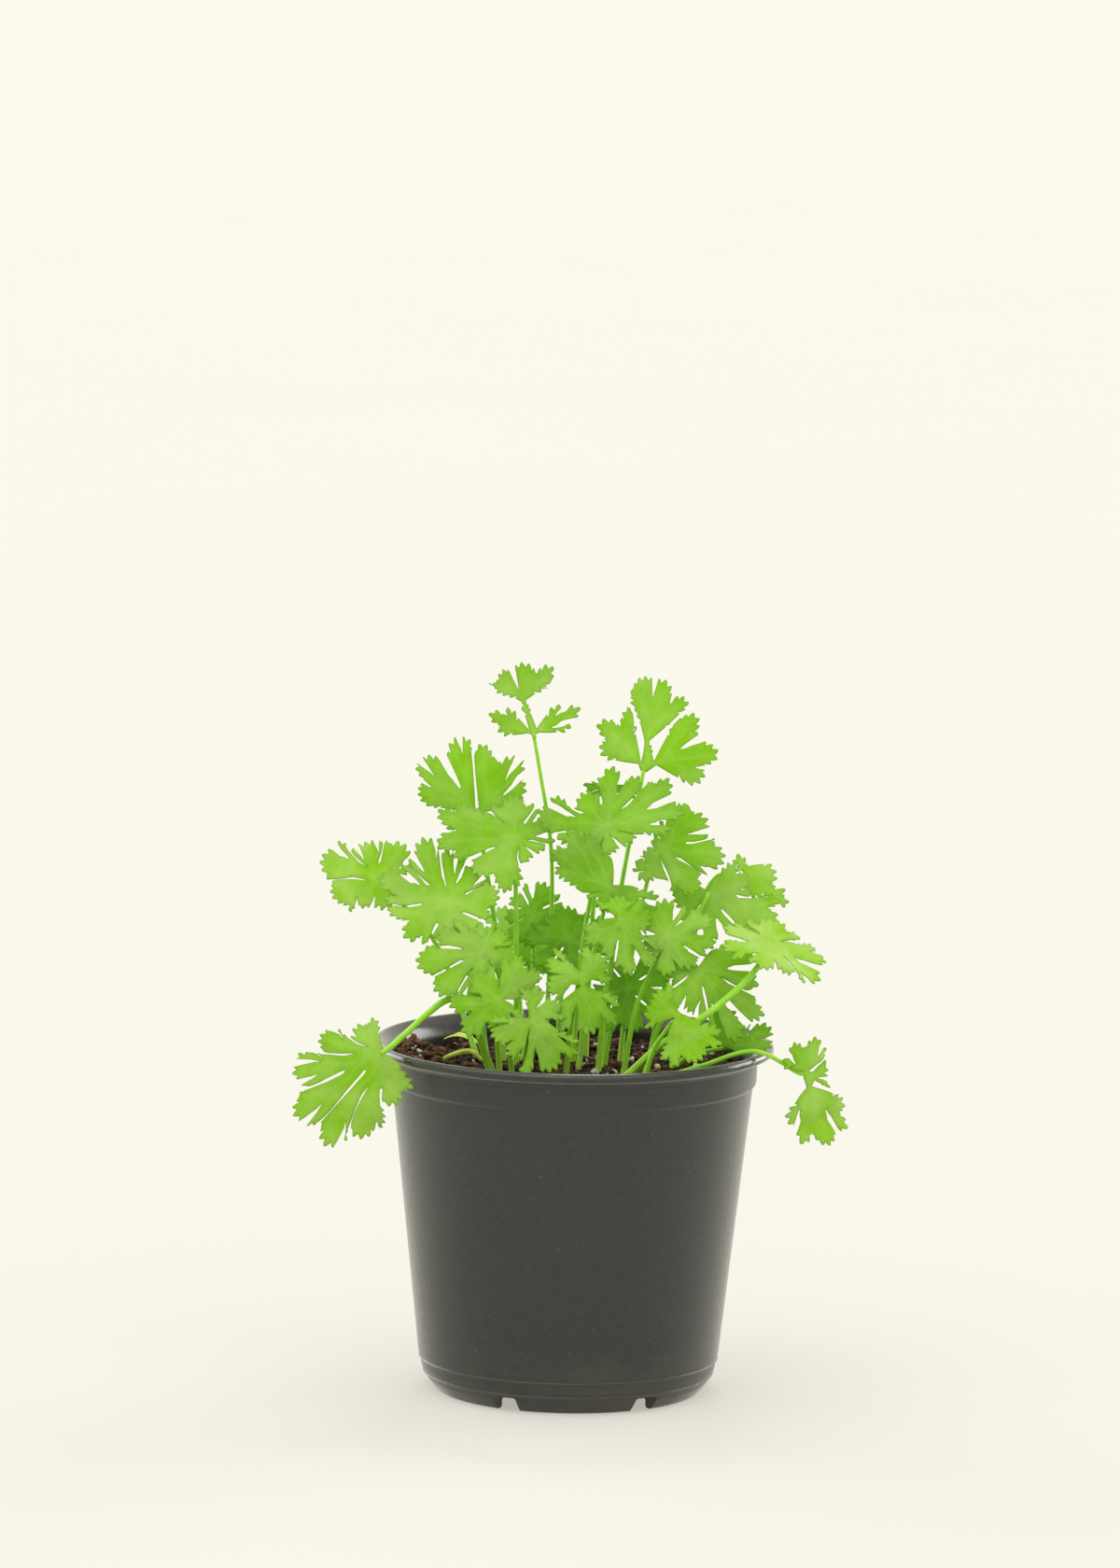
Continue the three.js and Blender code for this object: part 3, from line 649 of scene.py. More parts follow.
def make_mix():
    """A closed body of mix, fine on top and plain at the sides, where the wall of the pot hides it."""
    rng = random.Random(3)
    round_points = []
    steps = 240
    for k in range(steps):
        angle = 2 * math.pi * k / steps
        round_points.append((SOIL_RADIUS * math.cos(angle), SOIL_RADIUS * math.sin(angle)))
    inner = hexagon_grid(SOIL_RADIUS - 0.5 * MM, 0.95 * MM, rng, 0.2)
    flat = [Vector(p) for p in round_points + inner]
    edges = [(k, (k + 1) % steps) for k in range(steps)]
    places, _, triangles, _, _, _ = geometry.delaunay_2d_cdt(flat, edges, [], 1, 1e-7)
    points = [(p.x, p.y, soil_height(p.x, p.y) + crumbly(p.x, p.y)) for p in places]
    faces = [tuple(t) for t in triangles]
    low = [z for z in sorted({round(p.z, 5) for p in soil_points}) if z < 0.095]
    rings = []
    for z in reversed(low):
        radius = max(math.hypot(p.x, p.y) for p in soil_points if abs(p.z - z) < 1e-5)
        if radius > 0.03:
            rings.append((radius, z))
    above = list(range(steps))
    for radius, z in rings:
        start = len(points)
        for k in range(steps):
            angle = 2 * math.pi * k / steps
            points.append((radius * math.cos(angle), radius * math.sin(angle), z))
        for k in range(steps):
            after = (k + 1) % steps
            faces.append((above[after], above[k], start + k, start + after))
        above = list(range(start, start + steps))
    points.append((0, 0, rings[-1][1]))
    for k in range(steps):
        faces.append((len(points) - 1, above[(k + 1) % steps], above[k]))
    return points, faces


print("ready: hexagon_grid, make_mix")

# %% Colours of the mix
def make_mix_material(name, first, second, scale, grain_scale, depth, roughness):
    """Rough earthy stuff: two tones in patches, varied by piece, with a coarse grain."""
    material, tree, shader = new_material(name, roughness=roughness, specular=0.25)
    tones = two_tones(tree, first, second, scale, 1.6)
    shade = mesh_value(tree, "shade")
    dark = mix_colors(tree, 1.0, tones.outputs["Color"], (0.45, 0.42, 0.4, 1), "MULTIPLY")
    tree.links.new(mix_colors(tree, shade, dark, tones.outputs["Color"]), shader.inputs["Base Color"])
    grain = set_grain(tree, shader, grain_scale, 0.8, depth)
    uneven = calculate(tree, "MULTIPLY", grain.outputs["Height"], 0.12)
    tree.links.new(calculate(tree, "ADD", uneven, roughness - 0.08), shader.inputs["Roughness"])
    return material


MIX_BROWN = make_mix_material("mix_brown", (66, 42, 28), (30, 20, 14), 420.0, 900.0, 0.0005, 0.92)
BARK = make_mix_material("bark", (128, 88, 60), (62, 40, 28), 400.0, 1500.0, 0.0003, 0.85)
FIBRE = make_mix_material("coir_fibre", (150, 108, 70), (96, 64, 40), 300.0, 900.0, 0.0001, 0.8)
PERLITE = make_mix_material("perlite", (238, 234, 224), (205, 198, 182), 900.0, 1800.0, 0.0004, 0.9)

points, faces = make_mix()
build_piece(
    "potting_mix_top", points, faces, MIX_BROWN, ("soil",),
    values={"shade": [0.75 + 0.25 * noise.noise(Vector(p) * 400) for p in points]},
)
print("potting_mix_top:", len(points), "points")

# %% Chips, fibres and grains
def lump(rng, centre, size, squash, rough):
    """A small irregular lump, as points and triangles, turned at random."""
    shape = bmesh.new()
    bmesh.ops.create_icosphere(shape, subdivisions=1 if rough else 2, radius=0.5)
    spin = Matrix.Rotation(rng.uniform(0, 2 * math.pi), 3, "Z")
    tilt = Matrix.Rotation(rng.gauss(0, 0.45), 3, "X")
    seed = Vector((rng.uniform(0, 50), rng.uniform(0, 50), rng.uniform(0, 50)))
    points = []
    for vertex in shape.verts:
        bulge = 1 + 0.45 * noise.noise(vertex.co * 2.6 + seed)
        p = Vector((vertex.co.x * squash[0], vertex.co.y * squash[1], vertex.co.z * squash[2])) * bulge * size
        points.append(centre + spin @ (tilt @ p))
    faces = [tuple(v.index for v in face.verts) for face in shape.faces]
    shape.free()
    return points, faces


def place_on_mix(rng, reach):
    """A random place on the mix, equally likely everywhere."""
    angle = rng.uniform(0, 2 * math.pi)
    radius = reach * math.sqrt(rng.random())
    return radius * math.cos(angle), radius * math.sin(angle)


def scatter(name, material, count, seed, make_one):
    """Many small bits in one mesh, each with its own shade."""
    rng = random.Random(seed)
    points, faces, shades = [], [], []
    for _ in range(count):
        bit_points, bit_faces = make_one(rng)
        base = len(points)
        points.extend(bit_points)
        faces.extend(tuple(base + i for i in f) for f in bit_faces)
        shades.extend([rng.random()] * len(bit_points))
    build_piece(name, points, faces, material, values={"shade": shades})
    print(name + ":", count, "bits,", len(points), "points")


def loose_bit(inset, sizes, lift, widths, heights, rough):
    """A maker of bits of one kind, which lie on the mix at least an inset from the wall."""
    def one_bit(rng):
        x, y = place_on_mix(rng, SOIL_RADIUS - inset)
        size = rng.uniform(*sizes) * MM
        centre = Vector((x, y, soil_height(x, y) + crumbly(x, y) + lift * size))
        return lump(rng, centre, size, (1.0, rng.uniform(*widths), rng.uniform(*heights)), rough)
    return one_bit


one_chip = loose_bit(2 * MM, (1.6, 5.2), 0.1, (0.4, 0.9), (0.25, 0.5), True)
one_crumb = loose_bit(1 * MM, (0.9, 2.8), 0.15, (0.7, 1.0), (0.6, 1.0), True)
one_perlite = loose_bit(2 * MM, (1.2, 2.8), 0.2, (0.8, 1.0), (0.7, 0.9), False)


def one_fibre(rng):
    """A thin bent thread of coir, thinner towards one end."""
    x, y = place_on_mix(rng, SOIL_RADIUS - 8 * MM)
    heading = rng.uniform(0, 2 * math.pi)
    bend = rng.uniform(-1.6, 1.6)
    length = rng.uniform(4, 11) * MM
    width = rng.uniform(0.12, 0.28) * MM
    points, faces = [], []
    count = 9
    for k in range(count):
        share = k / (count - 1)
        direction = heading + bend * share
        x += math.cos(direction) * length / count
        y += math.sin(direction) * length / count
        lift = (0.5 + 0.7 * math.sin(math.pi * share)) * MM
        centre = Vector((x, y, soil_height(x, y) + crumbly(x, y) + lift))
        side = Vector((-math.sin(direction), math.cos(direction), 0))
        thin = width * (1 - 0.6 * share)
        for turn_share in range(4):
            angle = math.pi / 2 * turn_share
            points.append(centre + thin * (side * math.cos(angle) + Vector((0, 0, math.sin(angle)))))
        if k:
            for corner in range(4):
                a, b = 4 * (k - 1) + corner, 4 * (k - 1) + (corner + 1) % 4
                faces.append((a, b, b + 4, a + 4))
    faces.append((3, 2, 1, 0))
    faces.append(tuple(4 * (count - 1) + i for i in range(4)))
    return points, faces


def one_heap_bit(rng, smallest=2.0, largest=4.4):
    """A coarse bit of the heap that is pushed up against the wall at the left."""
    angle = math.pi + rng.gauss(-0.05, 0.24)
    radius = SOIL_RADIUS - abs(rng.gauss(0, 6)) * MM - 1.5 * MM
    x, y = radius * math.cos(angle), radius * math.sin(angle)
    size = rng.uniform(smallest, largest) * MM
    lift = rng.uniform(0.0, 4.2) * MM * math.exp(-(((angle - math.pi) / 0.3) ** 2))
    centre = Vector((x, y, soil_height(x, y) + crumbly(x, y) + lift))
    return lump(rng, centre, size, (1.0, rng.uniform(0.5, 0.9), rng.uniform(0.4, 0.7)), True)


scatter("heap_bits", BARK, 110, 15, one_heap_bit)
scatter("heap_grains", PERLITE, 16, 16, lambda rng: one_heap_bit(rng, 1.4, 2.6))
scatter("bark_chips", BARK, 520, 11, one_chip)
scatter("mix_crumbs", MIX_BROWN, 1300, 12, one_crumb)
scatter("coir_fibres", FIBRE, 150, 13, one_fibre)
scatter("perlite_grains", PERLITE, 90, 14, one_perlite)

# %% [markdown]
# ## The stalks
#
# A leaf stalk of coriander is a slim, juicy rod, a little thicker and paler at its foot, with fine
# ribs along it. It could be a bevelled curve, but ribs and a taper are simpler in a mesh: a small
# ribbed ring is carried along a smooth line. That line is the middle of the CAD stalk, found by
# walking up its six-sided rings. It starts under the crumbs and ends inside the leaf.

# %% Walk up a CAD stalk
def ring_centres(node, towards):
    """Middles of a CAD stalk's rings, from the foot to the end nearest to the place given."""
    points, faces = welded(node)
    beside = {i: set() for i in range(len(points))}
    for face in faces:
        for a in face:
            beside[a].update(i for i in face if i != a)
    normals = [geometry.normal([points[i] for i in face]) for face in faces]
    caps = []
    for i in range(len(faces)):
        group = {i}
        for j, face in enumerate(faces):
            if normals[i].dot(normals[j]) > 0.9999 and len(set(face) & set(faces[i])) >= 1:
                group.add(j)
        corners = {c for j in group for c in faces[j]}
        if len(corners) == 6:
            centre = sum((points[c] for c in corners), Vector()) / 6
            spans = [(points[c] - centre).length for c in corners]
            if max(spans) < 1.02 * min(spans):
                caps.append((centre, frozenset(corners)))
    caps.sort(key=lambda cap: -(cap[0] - towards).length)
    ring = set(caps[0][1])
    seen = set(ring)
    centres = []
    while ring:
        centres.append(sum((points[c] for c in ring), Vector()) / len(ring))
        ring = {n for c in ring for n in beside[c]} - seen
        seen |= ring
    first = list(caps[0][1])
    return centres, (points[first[0]] - caps[0][0]).length


print("ready: ring_centres")

# %% A ribbed rod
STALK_SIDES = 20
STALK_RIBS = 5


def ribbed_rod(path, widths, phase):
    """Rings of a ribbed section along a path, closed at both ends."""
    path = [Vector(p) for p in path]
    side = (path[1] - path[0]).orthogonal().normalized()
    points, faces = [], []
    for k, centre in enumerate(path):
        ahead = (path[min(k + 1, len(path) - 1)] - path[max(k - 1, 0)]).normalized()
        side = (side - ahead * side.dot(ahead)).normalized()
        other = ahead.cross(side)
        for corner in range(STALK_SIDES):
            angle = 2 * math.pi * corner / STALK_SIDES
            rib = 1 + 0.05 * math.cos(STALK_RIBS * angle + phase)
            out = side * math.cos(angle) + other * math.sin(angle)
            points.append(centre + out * float(widths[k] * rib))
        if k:
            low = STALK_SIDES * (k - 1)
            for corner in range(STALK_SIDES):
                a, b = low + corner, low + (corner + 1) % STALK_SIDES
                faces.append((a, b, b + STALK_SIDES, a + STALK_SIDES))
    faces.append(tuple(range(STALK_SIDES - 1, -1, -1)))
    last = STALK_SIDES * (len(path) - 1)
    faces.append(tuple(last + i for i in range(STALK_SIDES)))
    return points, faces


print("ready: ribbed_rod")

# %% Skin of the stalks
def make_stalk_skin():
    """Smooth, juicy pale green, almost straw-coloured at the foot, with faint streaks along it."""
    material, tree, shader = new_material("stem_green", roughness=0.4, specular=0.45)
    tones = two_tones(tree, (158, 212, 44), (132, 196, 20), 220.0, 1.0)
    foot = mesh_value(tree, "foot")
    pale = mix_colors(tree, foot, tones.outputs["Color"], finish_color(190, 218, 96))
    ribs = mesh_value(tree, "rib")
    lined = mix_colors(tree, calculate(tree, "MULTIPLY", ribs, 0.35), pale, finish_color(98, 164, 8))
    tree.links.new(lined, shader.inputs["Base Color"])
    shader.inputs["Subsurface Weight"].default_value = 0.25
    shader.inputs["Subsurface Radius"].default_value = (0.6, 1.0, 0.2)
    shader.inputs["Subsurface Scale"].default_value = 0.0015
    set_grain(tree, shader, 1100.0, 0.2, 0.0001)
    gloss = calculate(tree, "ADD", calculate(tree, "MULTIPLY", tones.outputs["Mask"], 0.1), 0.36)
    tree.links.new(gloss, shader.inputs["Roughness"])
    return material


STEM_GREEN = make_stalk_skin()
print("ready: make_stalk_skin")

# %% [markdown]
# ## The leaf blades
#
# A coriander leaf is one thin blade cut into leaflets, the leaflets into lobes, and the lobes into
# small teeth. Each tooth ends a vein, and the veins join on the way down to the stalk. The CAD blade
# gives the outline of the lobes and the way the leaf is bent. From that outline this step does what
# the plant does: it rounds the lobes, cuts teeth in their outer edges, fills the shape with a fine
# net of triangles, and finds the veins as the cheapest way through the net from each tooth to the
# hub, where walking along the middle of the blade is cheap and along its margin is dear.

# %% Read a CAD blade
def read_blade(node):
    """The plane of a CAD blade as its normal, and its outline as points in the middle of the blade's
    thickness.
    """
    points, faces = welded(node)
    edges = {}
    for face in faces:
        for a, b in ((face[0], face[1]), (face[1], face[2]), (face[2], face[0])):
            edges.setdefault((min(a, b), max(a, b)), []).append(face)
    counts = {}
    for a, b in edges:
        step = points[b] - points[a]
        if step.z - step.y < 0:
            step = -step
        key = tuple(round(c * 2e5) for c in step)
        counts.setdefault(key, []).append((a, b, step))
    usual = max(counts.values(), key=len)[0][2]
    thick = [entry for group in counts.values() for entry in group if (entry[2] - usual).length < 2e-5]
    normal = sum((step for _, _, step in thick), Vector()) / len(thick)
    thickness = normal.length
    normal.normalize()
    partner = {}
    for a, b, _ in thick:
        low, high = (a, b) if (points[b] - points[a]).dot(normal) > 0 else (b, a)
        partner[high] = low
    loop_next = {}
    for (a, b), around in edges.items():
        if a in partner and b in partner:
            for face in around:
                if partner[a] in face or partner[b] in face:
                    loop_next.setdefault(a, []).append(b)
                    loop_next.setdefault(b, []).append(a)
    start = next(iter(loop_next))
    loop = [start]
    while True:
        onward = [i for i in loop_next[loop[-1]] if i not in loop[-2:] and i not in loop[1:]]
        if not onward or onward[0] == start:
            break
        loop.append(onward[0])
    middle = [points[i] - normal * thickness / 2 for i in loop]
    return middle, normal


print("ready: read_blade")

# %% Test the reading on one leaf
outline, normal = read_blade("leaf_02")
print("leaf_02 outline:", len(outline), "points, faces", [round(c, 2) for c in normal])

# %% Sizes of lobes, clefts and teeth
OUTLINE_STEP = 0.3 * MM
LOBE_PITCH = 6.8 * MM
CLEFT_HALF = 0.62 * MM
TOOTH_PITCH = 2.1 * MM
SLIT_BEND = -2.4
SHORTENED_SHARE = 0.7


def signed_area(loop):
    """Area inside an outline, below zero if it runs clockwise."""
    x, y = loop[:, 0], loop[:, 1]
    return 0.5 * float(np.sum(x * np.roll(y, -1) - np.roll(x, -1) * y))


def corner_bends(loop):
    """How far the outline turns at each corner. Inner corners are below zero."""
    ahead = np.roll(loop, -1, axis=0) - loop
    behind = loop - np.roll(loop, 1, axis=0)
    turn = behind[:, 0] * ahead[:, 1] - behind[:, 1] * ahead[:, 0]
    return np.arctan2(turn, np.sum(behind * ahead, axis=1))


print("ready: signed_area, corner_bends")

# %% Run a smooth line round the CAD lobes
def shorten_slits(loop, rng):
    """Moves the inner ends of some narrow slits outwards, because a real leaf has only a few deep ones."""
    loop = loop.copy()
    count = len(loop)
    bend = corner_bends(loop)
    radius = np.linalg.norm(loop, axis=1)
    for i in range(count):
        after = max(radius[(i + 1) % count], radius[(i + 2) % count])
        mouth = min(max(radius[i - 1], radius[i - 2]), after)
        slit = bend[i] <= SLIT_BEND and radius[i] >= 0.17 * radius.max() and mouth >= 1.2 * radius[i]
        if not slit or rng.random() > SHORTENED_SHARE:
            continue
        end = radius[i] + (mouth - radius[i]) * rng.uniform(0.4, 0.8)
        for j in (i - 1, i, (i + 1) % count):
            if radius[j] < end:
                loop[j] *= end / radius[j]
    return loop


def lobe_runs(loop):
    """The outline in fine steps, lobe by lobe, from one inner corner of the CAD outline to the next."""
    count = len(loop)
    bend = corner_bends(loop)
    corners = [i for i in range(count) if bend[i] < -0.5]
    if len(corners) < 2:
        corners = [int(np.argmin(np.linalg.norm(loop, axis=1)))]
    runs = []
    for k, corner in enumerate(corners):
        span = (corners[(k + 1) % len(corners)] - corner) % count or count
        run = [loop[(corner + i) % count] for i in range(span + 1)]
        if span == 1:
            steps = max(2, int(np.linalg.norm(run[1] - run[0]) / OUTLINE_STEP))
            share = np.linspace(0, 1, steps + 1)[:, None]
            runs.append(run[0] * (1 - share) + run[1] * share)
        else:
            runs.append(smooth_path(run, OUTLINE_STEP))
    return runs


print("ready: shorten_slits, lobe_runs")

# %% Cut one cleft
def cleft_depth(outline, at, wanted):
    """How far a cut from one outline point to the hub can go before it nears another margin."""
    way = outline[at] / max(np.linalg.norm(outline[at]), 1e-9)
    gap = np.abs(np.arange(len(outline)) - at)
    gap = np.minimum(gap, len(outline) - gap) * OUTLINE_STEP
    depth = 0.0
    while depth < wanted:
        depth += 0.3 * MM
        others = outline[gap > depth + 2.5 * CLEFT_HALF]
        if len(others) and np.linalg.norm(others - (outline[at] - way * depth), axis=1).min() < 1.5 * MM:
            return max(0.0, depth - 0.3 * MM)
    return depth


def cut_cleft(outline, shift, at, depth):
    """Adds a narrow cut with a round end to the shift of each outline point. Deep cuts are wider."""
    way = outline[at] / max(np.linalg.norm(outline[at]), 1e-9)
    half = CLEFT_HALF * (0.8 + depth / (7 * MM))
    reach = int(half / OUTLINE_STEP) + 1
    for k in range(-reach, reach + 1):
        i = (at + k) % len(outline)
        share = abs(k) * OUTLINE_STEP / (half + 0.4 * OUTLINE_STEP)
        if share < 1:
            shift[i] -= way * depth * (1 - share**2.4)


print("ready: cleft_depth, cut_cleft")

# %% Keep teeth out of narrow places
def room_for_teeth(outline):
    """1 where the margin is free, and 0 where another stretch of margin is close, as in a slit."""
    count = len(outline)
    apart = np.linalg.norm(outline[:, None] - outline[None], axis=2)
    gap = np.abs(np.arange(count)[:, None] - np.arange(count)[None])
    gap = np.minimum(gap, count - gap) * OUTLINE_STEP
    apart[gap < 2.6 * MM] = 1.0
    return np.clip((apart.min(axis=1) - 1.1 * MM) / (1.4 * MM), 0, 1)


print("ready: room_for_teeth")

# %% Round the lobes and cut the teeth
def toothed_outline(loop, rng):
    """A fine outline with lobes, clefts and pointed teeth, and the places of the teeth's tips."""
    runs = lobe_runs(shorten_slits(loop, rng))
    starts = np.cumsum([0] + [len(run) - 1 for run in runs])
    outline = np.vstack([run[:-1] for run in runs])
    shift = np.zeros_like(outline)
    room = room_for_teeth(outline)
    tips = []
    whole = np.linalg.norm(outline, axis=1).max()
    for run, start in zip(runs, starts):
        radius = np.linalg.norm(run, axis=1)
        far = radius.max()
        if start > 0 and radius[0] > 0.3 * whole:
            deep = rng.random() < 0.4
            wanted = rng.uniform(0.25, 0.5) if deep else rng.uniform(0.02, 0.14)
            depth = cleft_depth(outline, start, wanted * radius[0])
            cut_cleft(outline, shift, start, depth)
        outer = np.flatnonzero(radius > 0.6 * far)
        begin = max(outer[0], int(0.1 * len(run)), 3)
        end = min(outer[-1], int(0.9 * len(run)), len(run) - 4)
        if end - begin < 4:
            continue
        tangent = np.gradient(run, axis=0)
        tangent /= np.linalg.norm(tangent, axis=1)[:, None]
        outward = np.stack([tangent[:, 1], -tangent[:, 0]], axis=1)
        lean = outward + 0.5 * run[int(np.argmax(radius))] / far
        lean /= np.linalg.norm(lean, axis=1)[:, None]
        parts = max(1, int(round((end - begin) * OUTLINE_STEP / (LOBE_PITCH * rng.uniform(0.85, 1.15)))))
        bounds = [begin + (end - begin) * k / parts for k in range(parts + 1)]
        for k in range(1, parts):
            bounds[k] += rng.uniform(-0.14, 0.14) * (end - begin) / parts
            at = int(round(bounds[k]))
            wanted = rng.uniform(0.1, 0.28) * radius[at]
            depth = cleft_depth(outline, start + at, min(wanted, 5.2 * MM))
            cut_cleft(outline, shift, start + at, depth)
        for low, high in zip(bounds, bounds[1:]):
            length = (high - low) * OUTLINE_STEP
            number = max(1, int(round(length / TOOTH_PITCH)))
            for k in range(int(round(low)), int(round(high)) + 1):
                along = np.clip((k - low) / (high - low), 0, 1) * number
                share = along % 1.0
                height = 0.78 * length / number * (1 - abs(2 * share - 1) ** 1.45 - 0.5)
                crown = 0.14 * length * (math.sin(math.pi * along / number) - 0.3)
                i = (start + k) % len(outline)
                shift[i] += lean[min(k, len(run) - 1)] * (height + crown) * room[i]
            for k in range(number):
                at = int(round(low + (high - low) * (k + 0.5) / number))
                tips.append(run[min(at, len(run) - 1)])
    return outline + shift, np.array(tips)


print("ready: toothed_outline")

# %% Keep what is inside the outline
def turns_round(outline, wanted):
    """How many times the outline goes round each wanted place."""
    x, y = wanted[:, 0:1], wanted[:, 1:2]
    ax, ay = outline[:, 0], outline[:, 1]
    bx, by = np.roll(ax, -1), np.roll(ay, -1)
    side = (bx - ax) * (y - ay) - (x - ax) * (by - ay)
    return ((ay <= y) & (by > y) & (side > 0)).sum(axis=1) - ((ay > y) & (by <= y) & (side < 0)).sum(axis=1)


def joined_to(start, triangles):
    """The triangles that hang together with the one that holds the start point."""
    around = {}
    for number, triangle in enumerate(triangles):
        for i in triangle:
            around.setdefault(i, []).append(number)
    seen, queue = set(), list(around.get(start, []))
    while queue:
        number = queue.pop()
        if number in seen:
            continue
        seen.add(number)
        corners = triangles[number]
        for i, j in zip(corners, corners[1:] + corners[:1]):
            queue.extend(n for n in around[i] if n not in seen and j in triangles[n])
    return [triangles[n] for n in sorted(seen)]


print("ready: turns_round, joined_to")

# %% Bend the blade as the CAD blade is bent
def thin_plate(places, heights):
    """A smooth sheet through heights at places, as a function."""
    scale = np.abs(places).max()
    known = places / scale

    def kernel(distance):
        return np.where(distance > 1e-9, distance**2 * np.log(np.maximum(distance, 1e-9)), 0)

    count = len(known)
    between = np.linalg.norm(known[:, None] - known[None], axis=2)
    plane = np.hstack([np.ones((count, 1)), known])
    system = np.block([[kernel(between) + 2e-3 * np.eye(count), plane], [plane.T, np.zeros((3, 3))]])
    weights = np.linalg.solve(system, np.concatenate([heights, np.zeros(3)]))

    def height_at(wanted):
        wanted = wanted / scale
        distance = np.linalg.norm(wanted[:, None] - known[None], axis=2)
        return kernel(distance) @ weights[:count] + weights[count] + wanted @ weights[count + 1:]

    return height_at


print("ready: thin_plate")

# %% Find the veins
def grow_veins(places, triangles, margin, tips):
    """Cheapest ways from the hub to the teeth, as smoothed lines with how many ways share each part."""
    beside = [set() for _ in places]
    for a, b, c in triangles:
        beside[a].update((b, c))
        beside[b].update((a, c))
        beside[c].update((a, b))
    price = 1 / (0.12 + np.minimum(margin / MM, 2.2)) ** 1.3
    hub = int(np.argmin(np.linalg.norm(places, axis=1)))
    best = {hub: 0.0}
    parent = {hub: hub}
    queue = [(0.0, hub)]
    while queue:
        cost, at = heapq.heappop(queue)
        if cost > best[at]:
            continue
        for near in beside[at]:
            step = float(np.hypot(*(places[at] - places[near])))
            offer = cost + step * (price[at] + price[near])
            if offer < best.get(near, 1e9):
                best[near] = offer
                parent[near] = at
                heapq.heappush(queue, (offer, near))
    traffic = {}
    lines = []
    for tip in tips:
        at = int(np.argmin(np.linalg.norm(places - tip, axis=1)))
        if at not in parent:
            continue
        way = [at]
        while way[-1] != hub:
            way.append(parent[way[-1]])
        for i in way:
            traffic[i] = traffic.get(i, 0) + 1
        lines.append(way)
    samples, strengths = [], []
    for way in lines:
        path = places[way].copy()
        flow = np.array([traffic[i] for i in way], dtype=float)
        for _ in range(8):
            path[1:-1] = 0.5 * path[1:-1] + 0.25 * (path[:-2] + path[2:])
            flow[1:-1] = 0.5 * flow[1:-1] + 0.25 * (flow[:-2] + flow[2:])
        for a, b, f, g in zip(path, path[1:], flow, flow[1:]):
            for share in (0.0, 0.5):
                samples.append(a + (b - a) * share)
                strengths.append(f + (g - f) * share)
    return np.array(samples), np.array(strengths)


def nearest(samples, wanted):
    """Distance from each wanted place to the nearest sample, and which sample it is."""
    tree = kdtree.KDTree(len(samples))
    for i, (x, y) in enumerate(samples):
        tree.insert((x, y, 0), i)
    tree.balance()
    found = [tree.find((x, y, 0)) for x, y in wanted]
    return np.array([f[2] for f in found]), np.array([f[1] for f in found])


print("ready: grow_veins, nearest")

# %% Shape one blade
BLADE_SKIN = 0.16 * MM
FILL_SPACING = 0.56 * MM
WAVE_LENGTH = 6.5 * MM
QUILT_LENGTH = 1.9 * MM


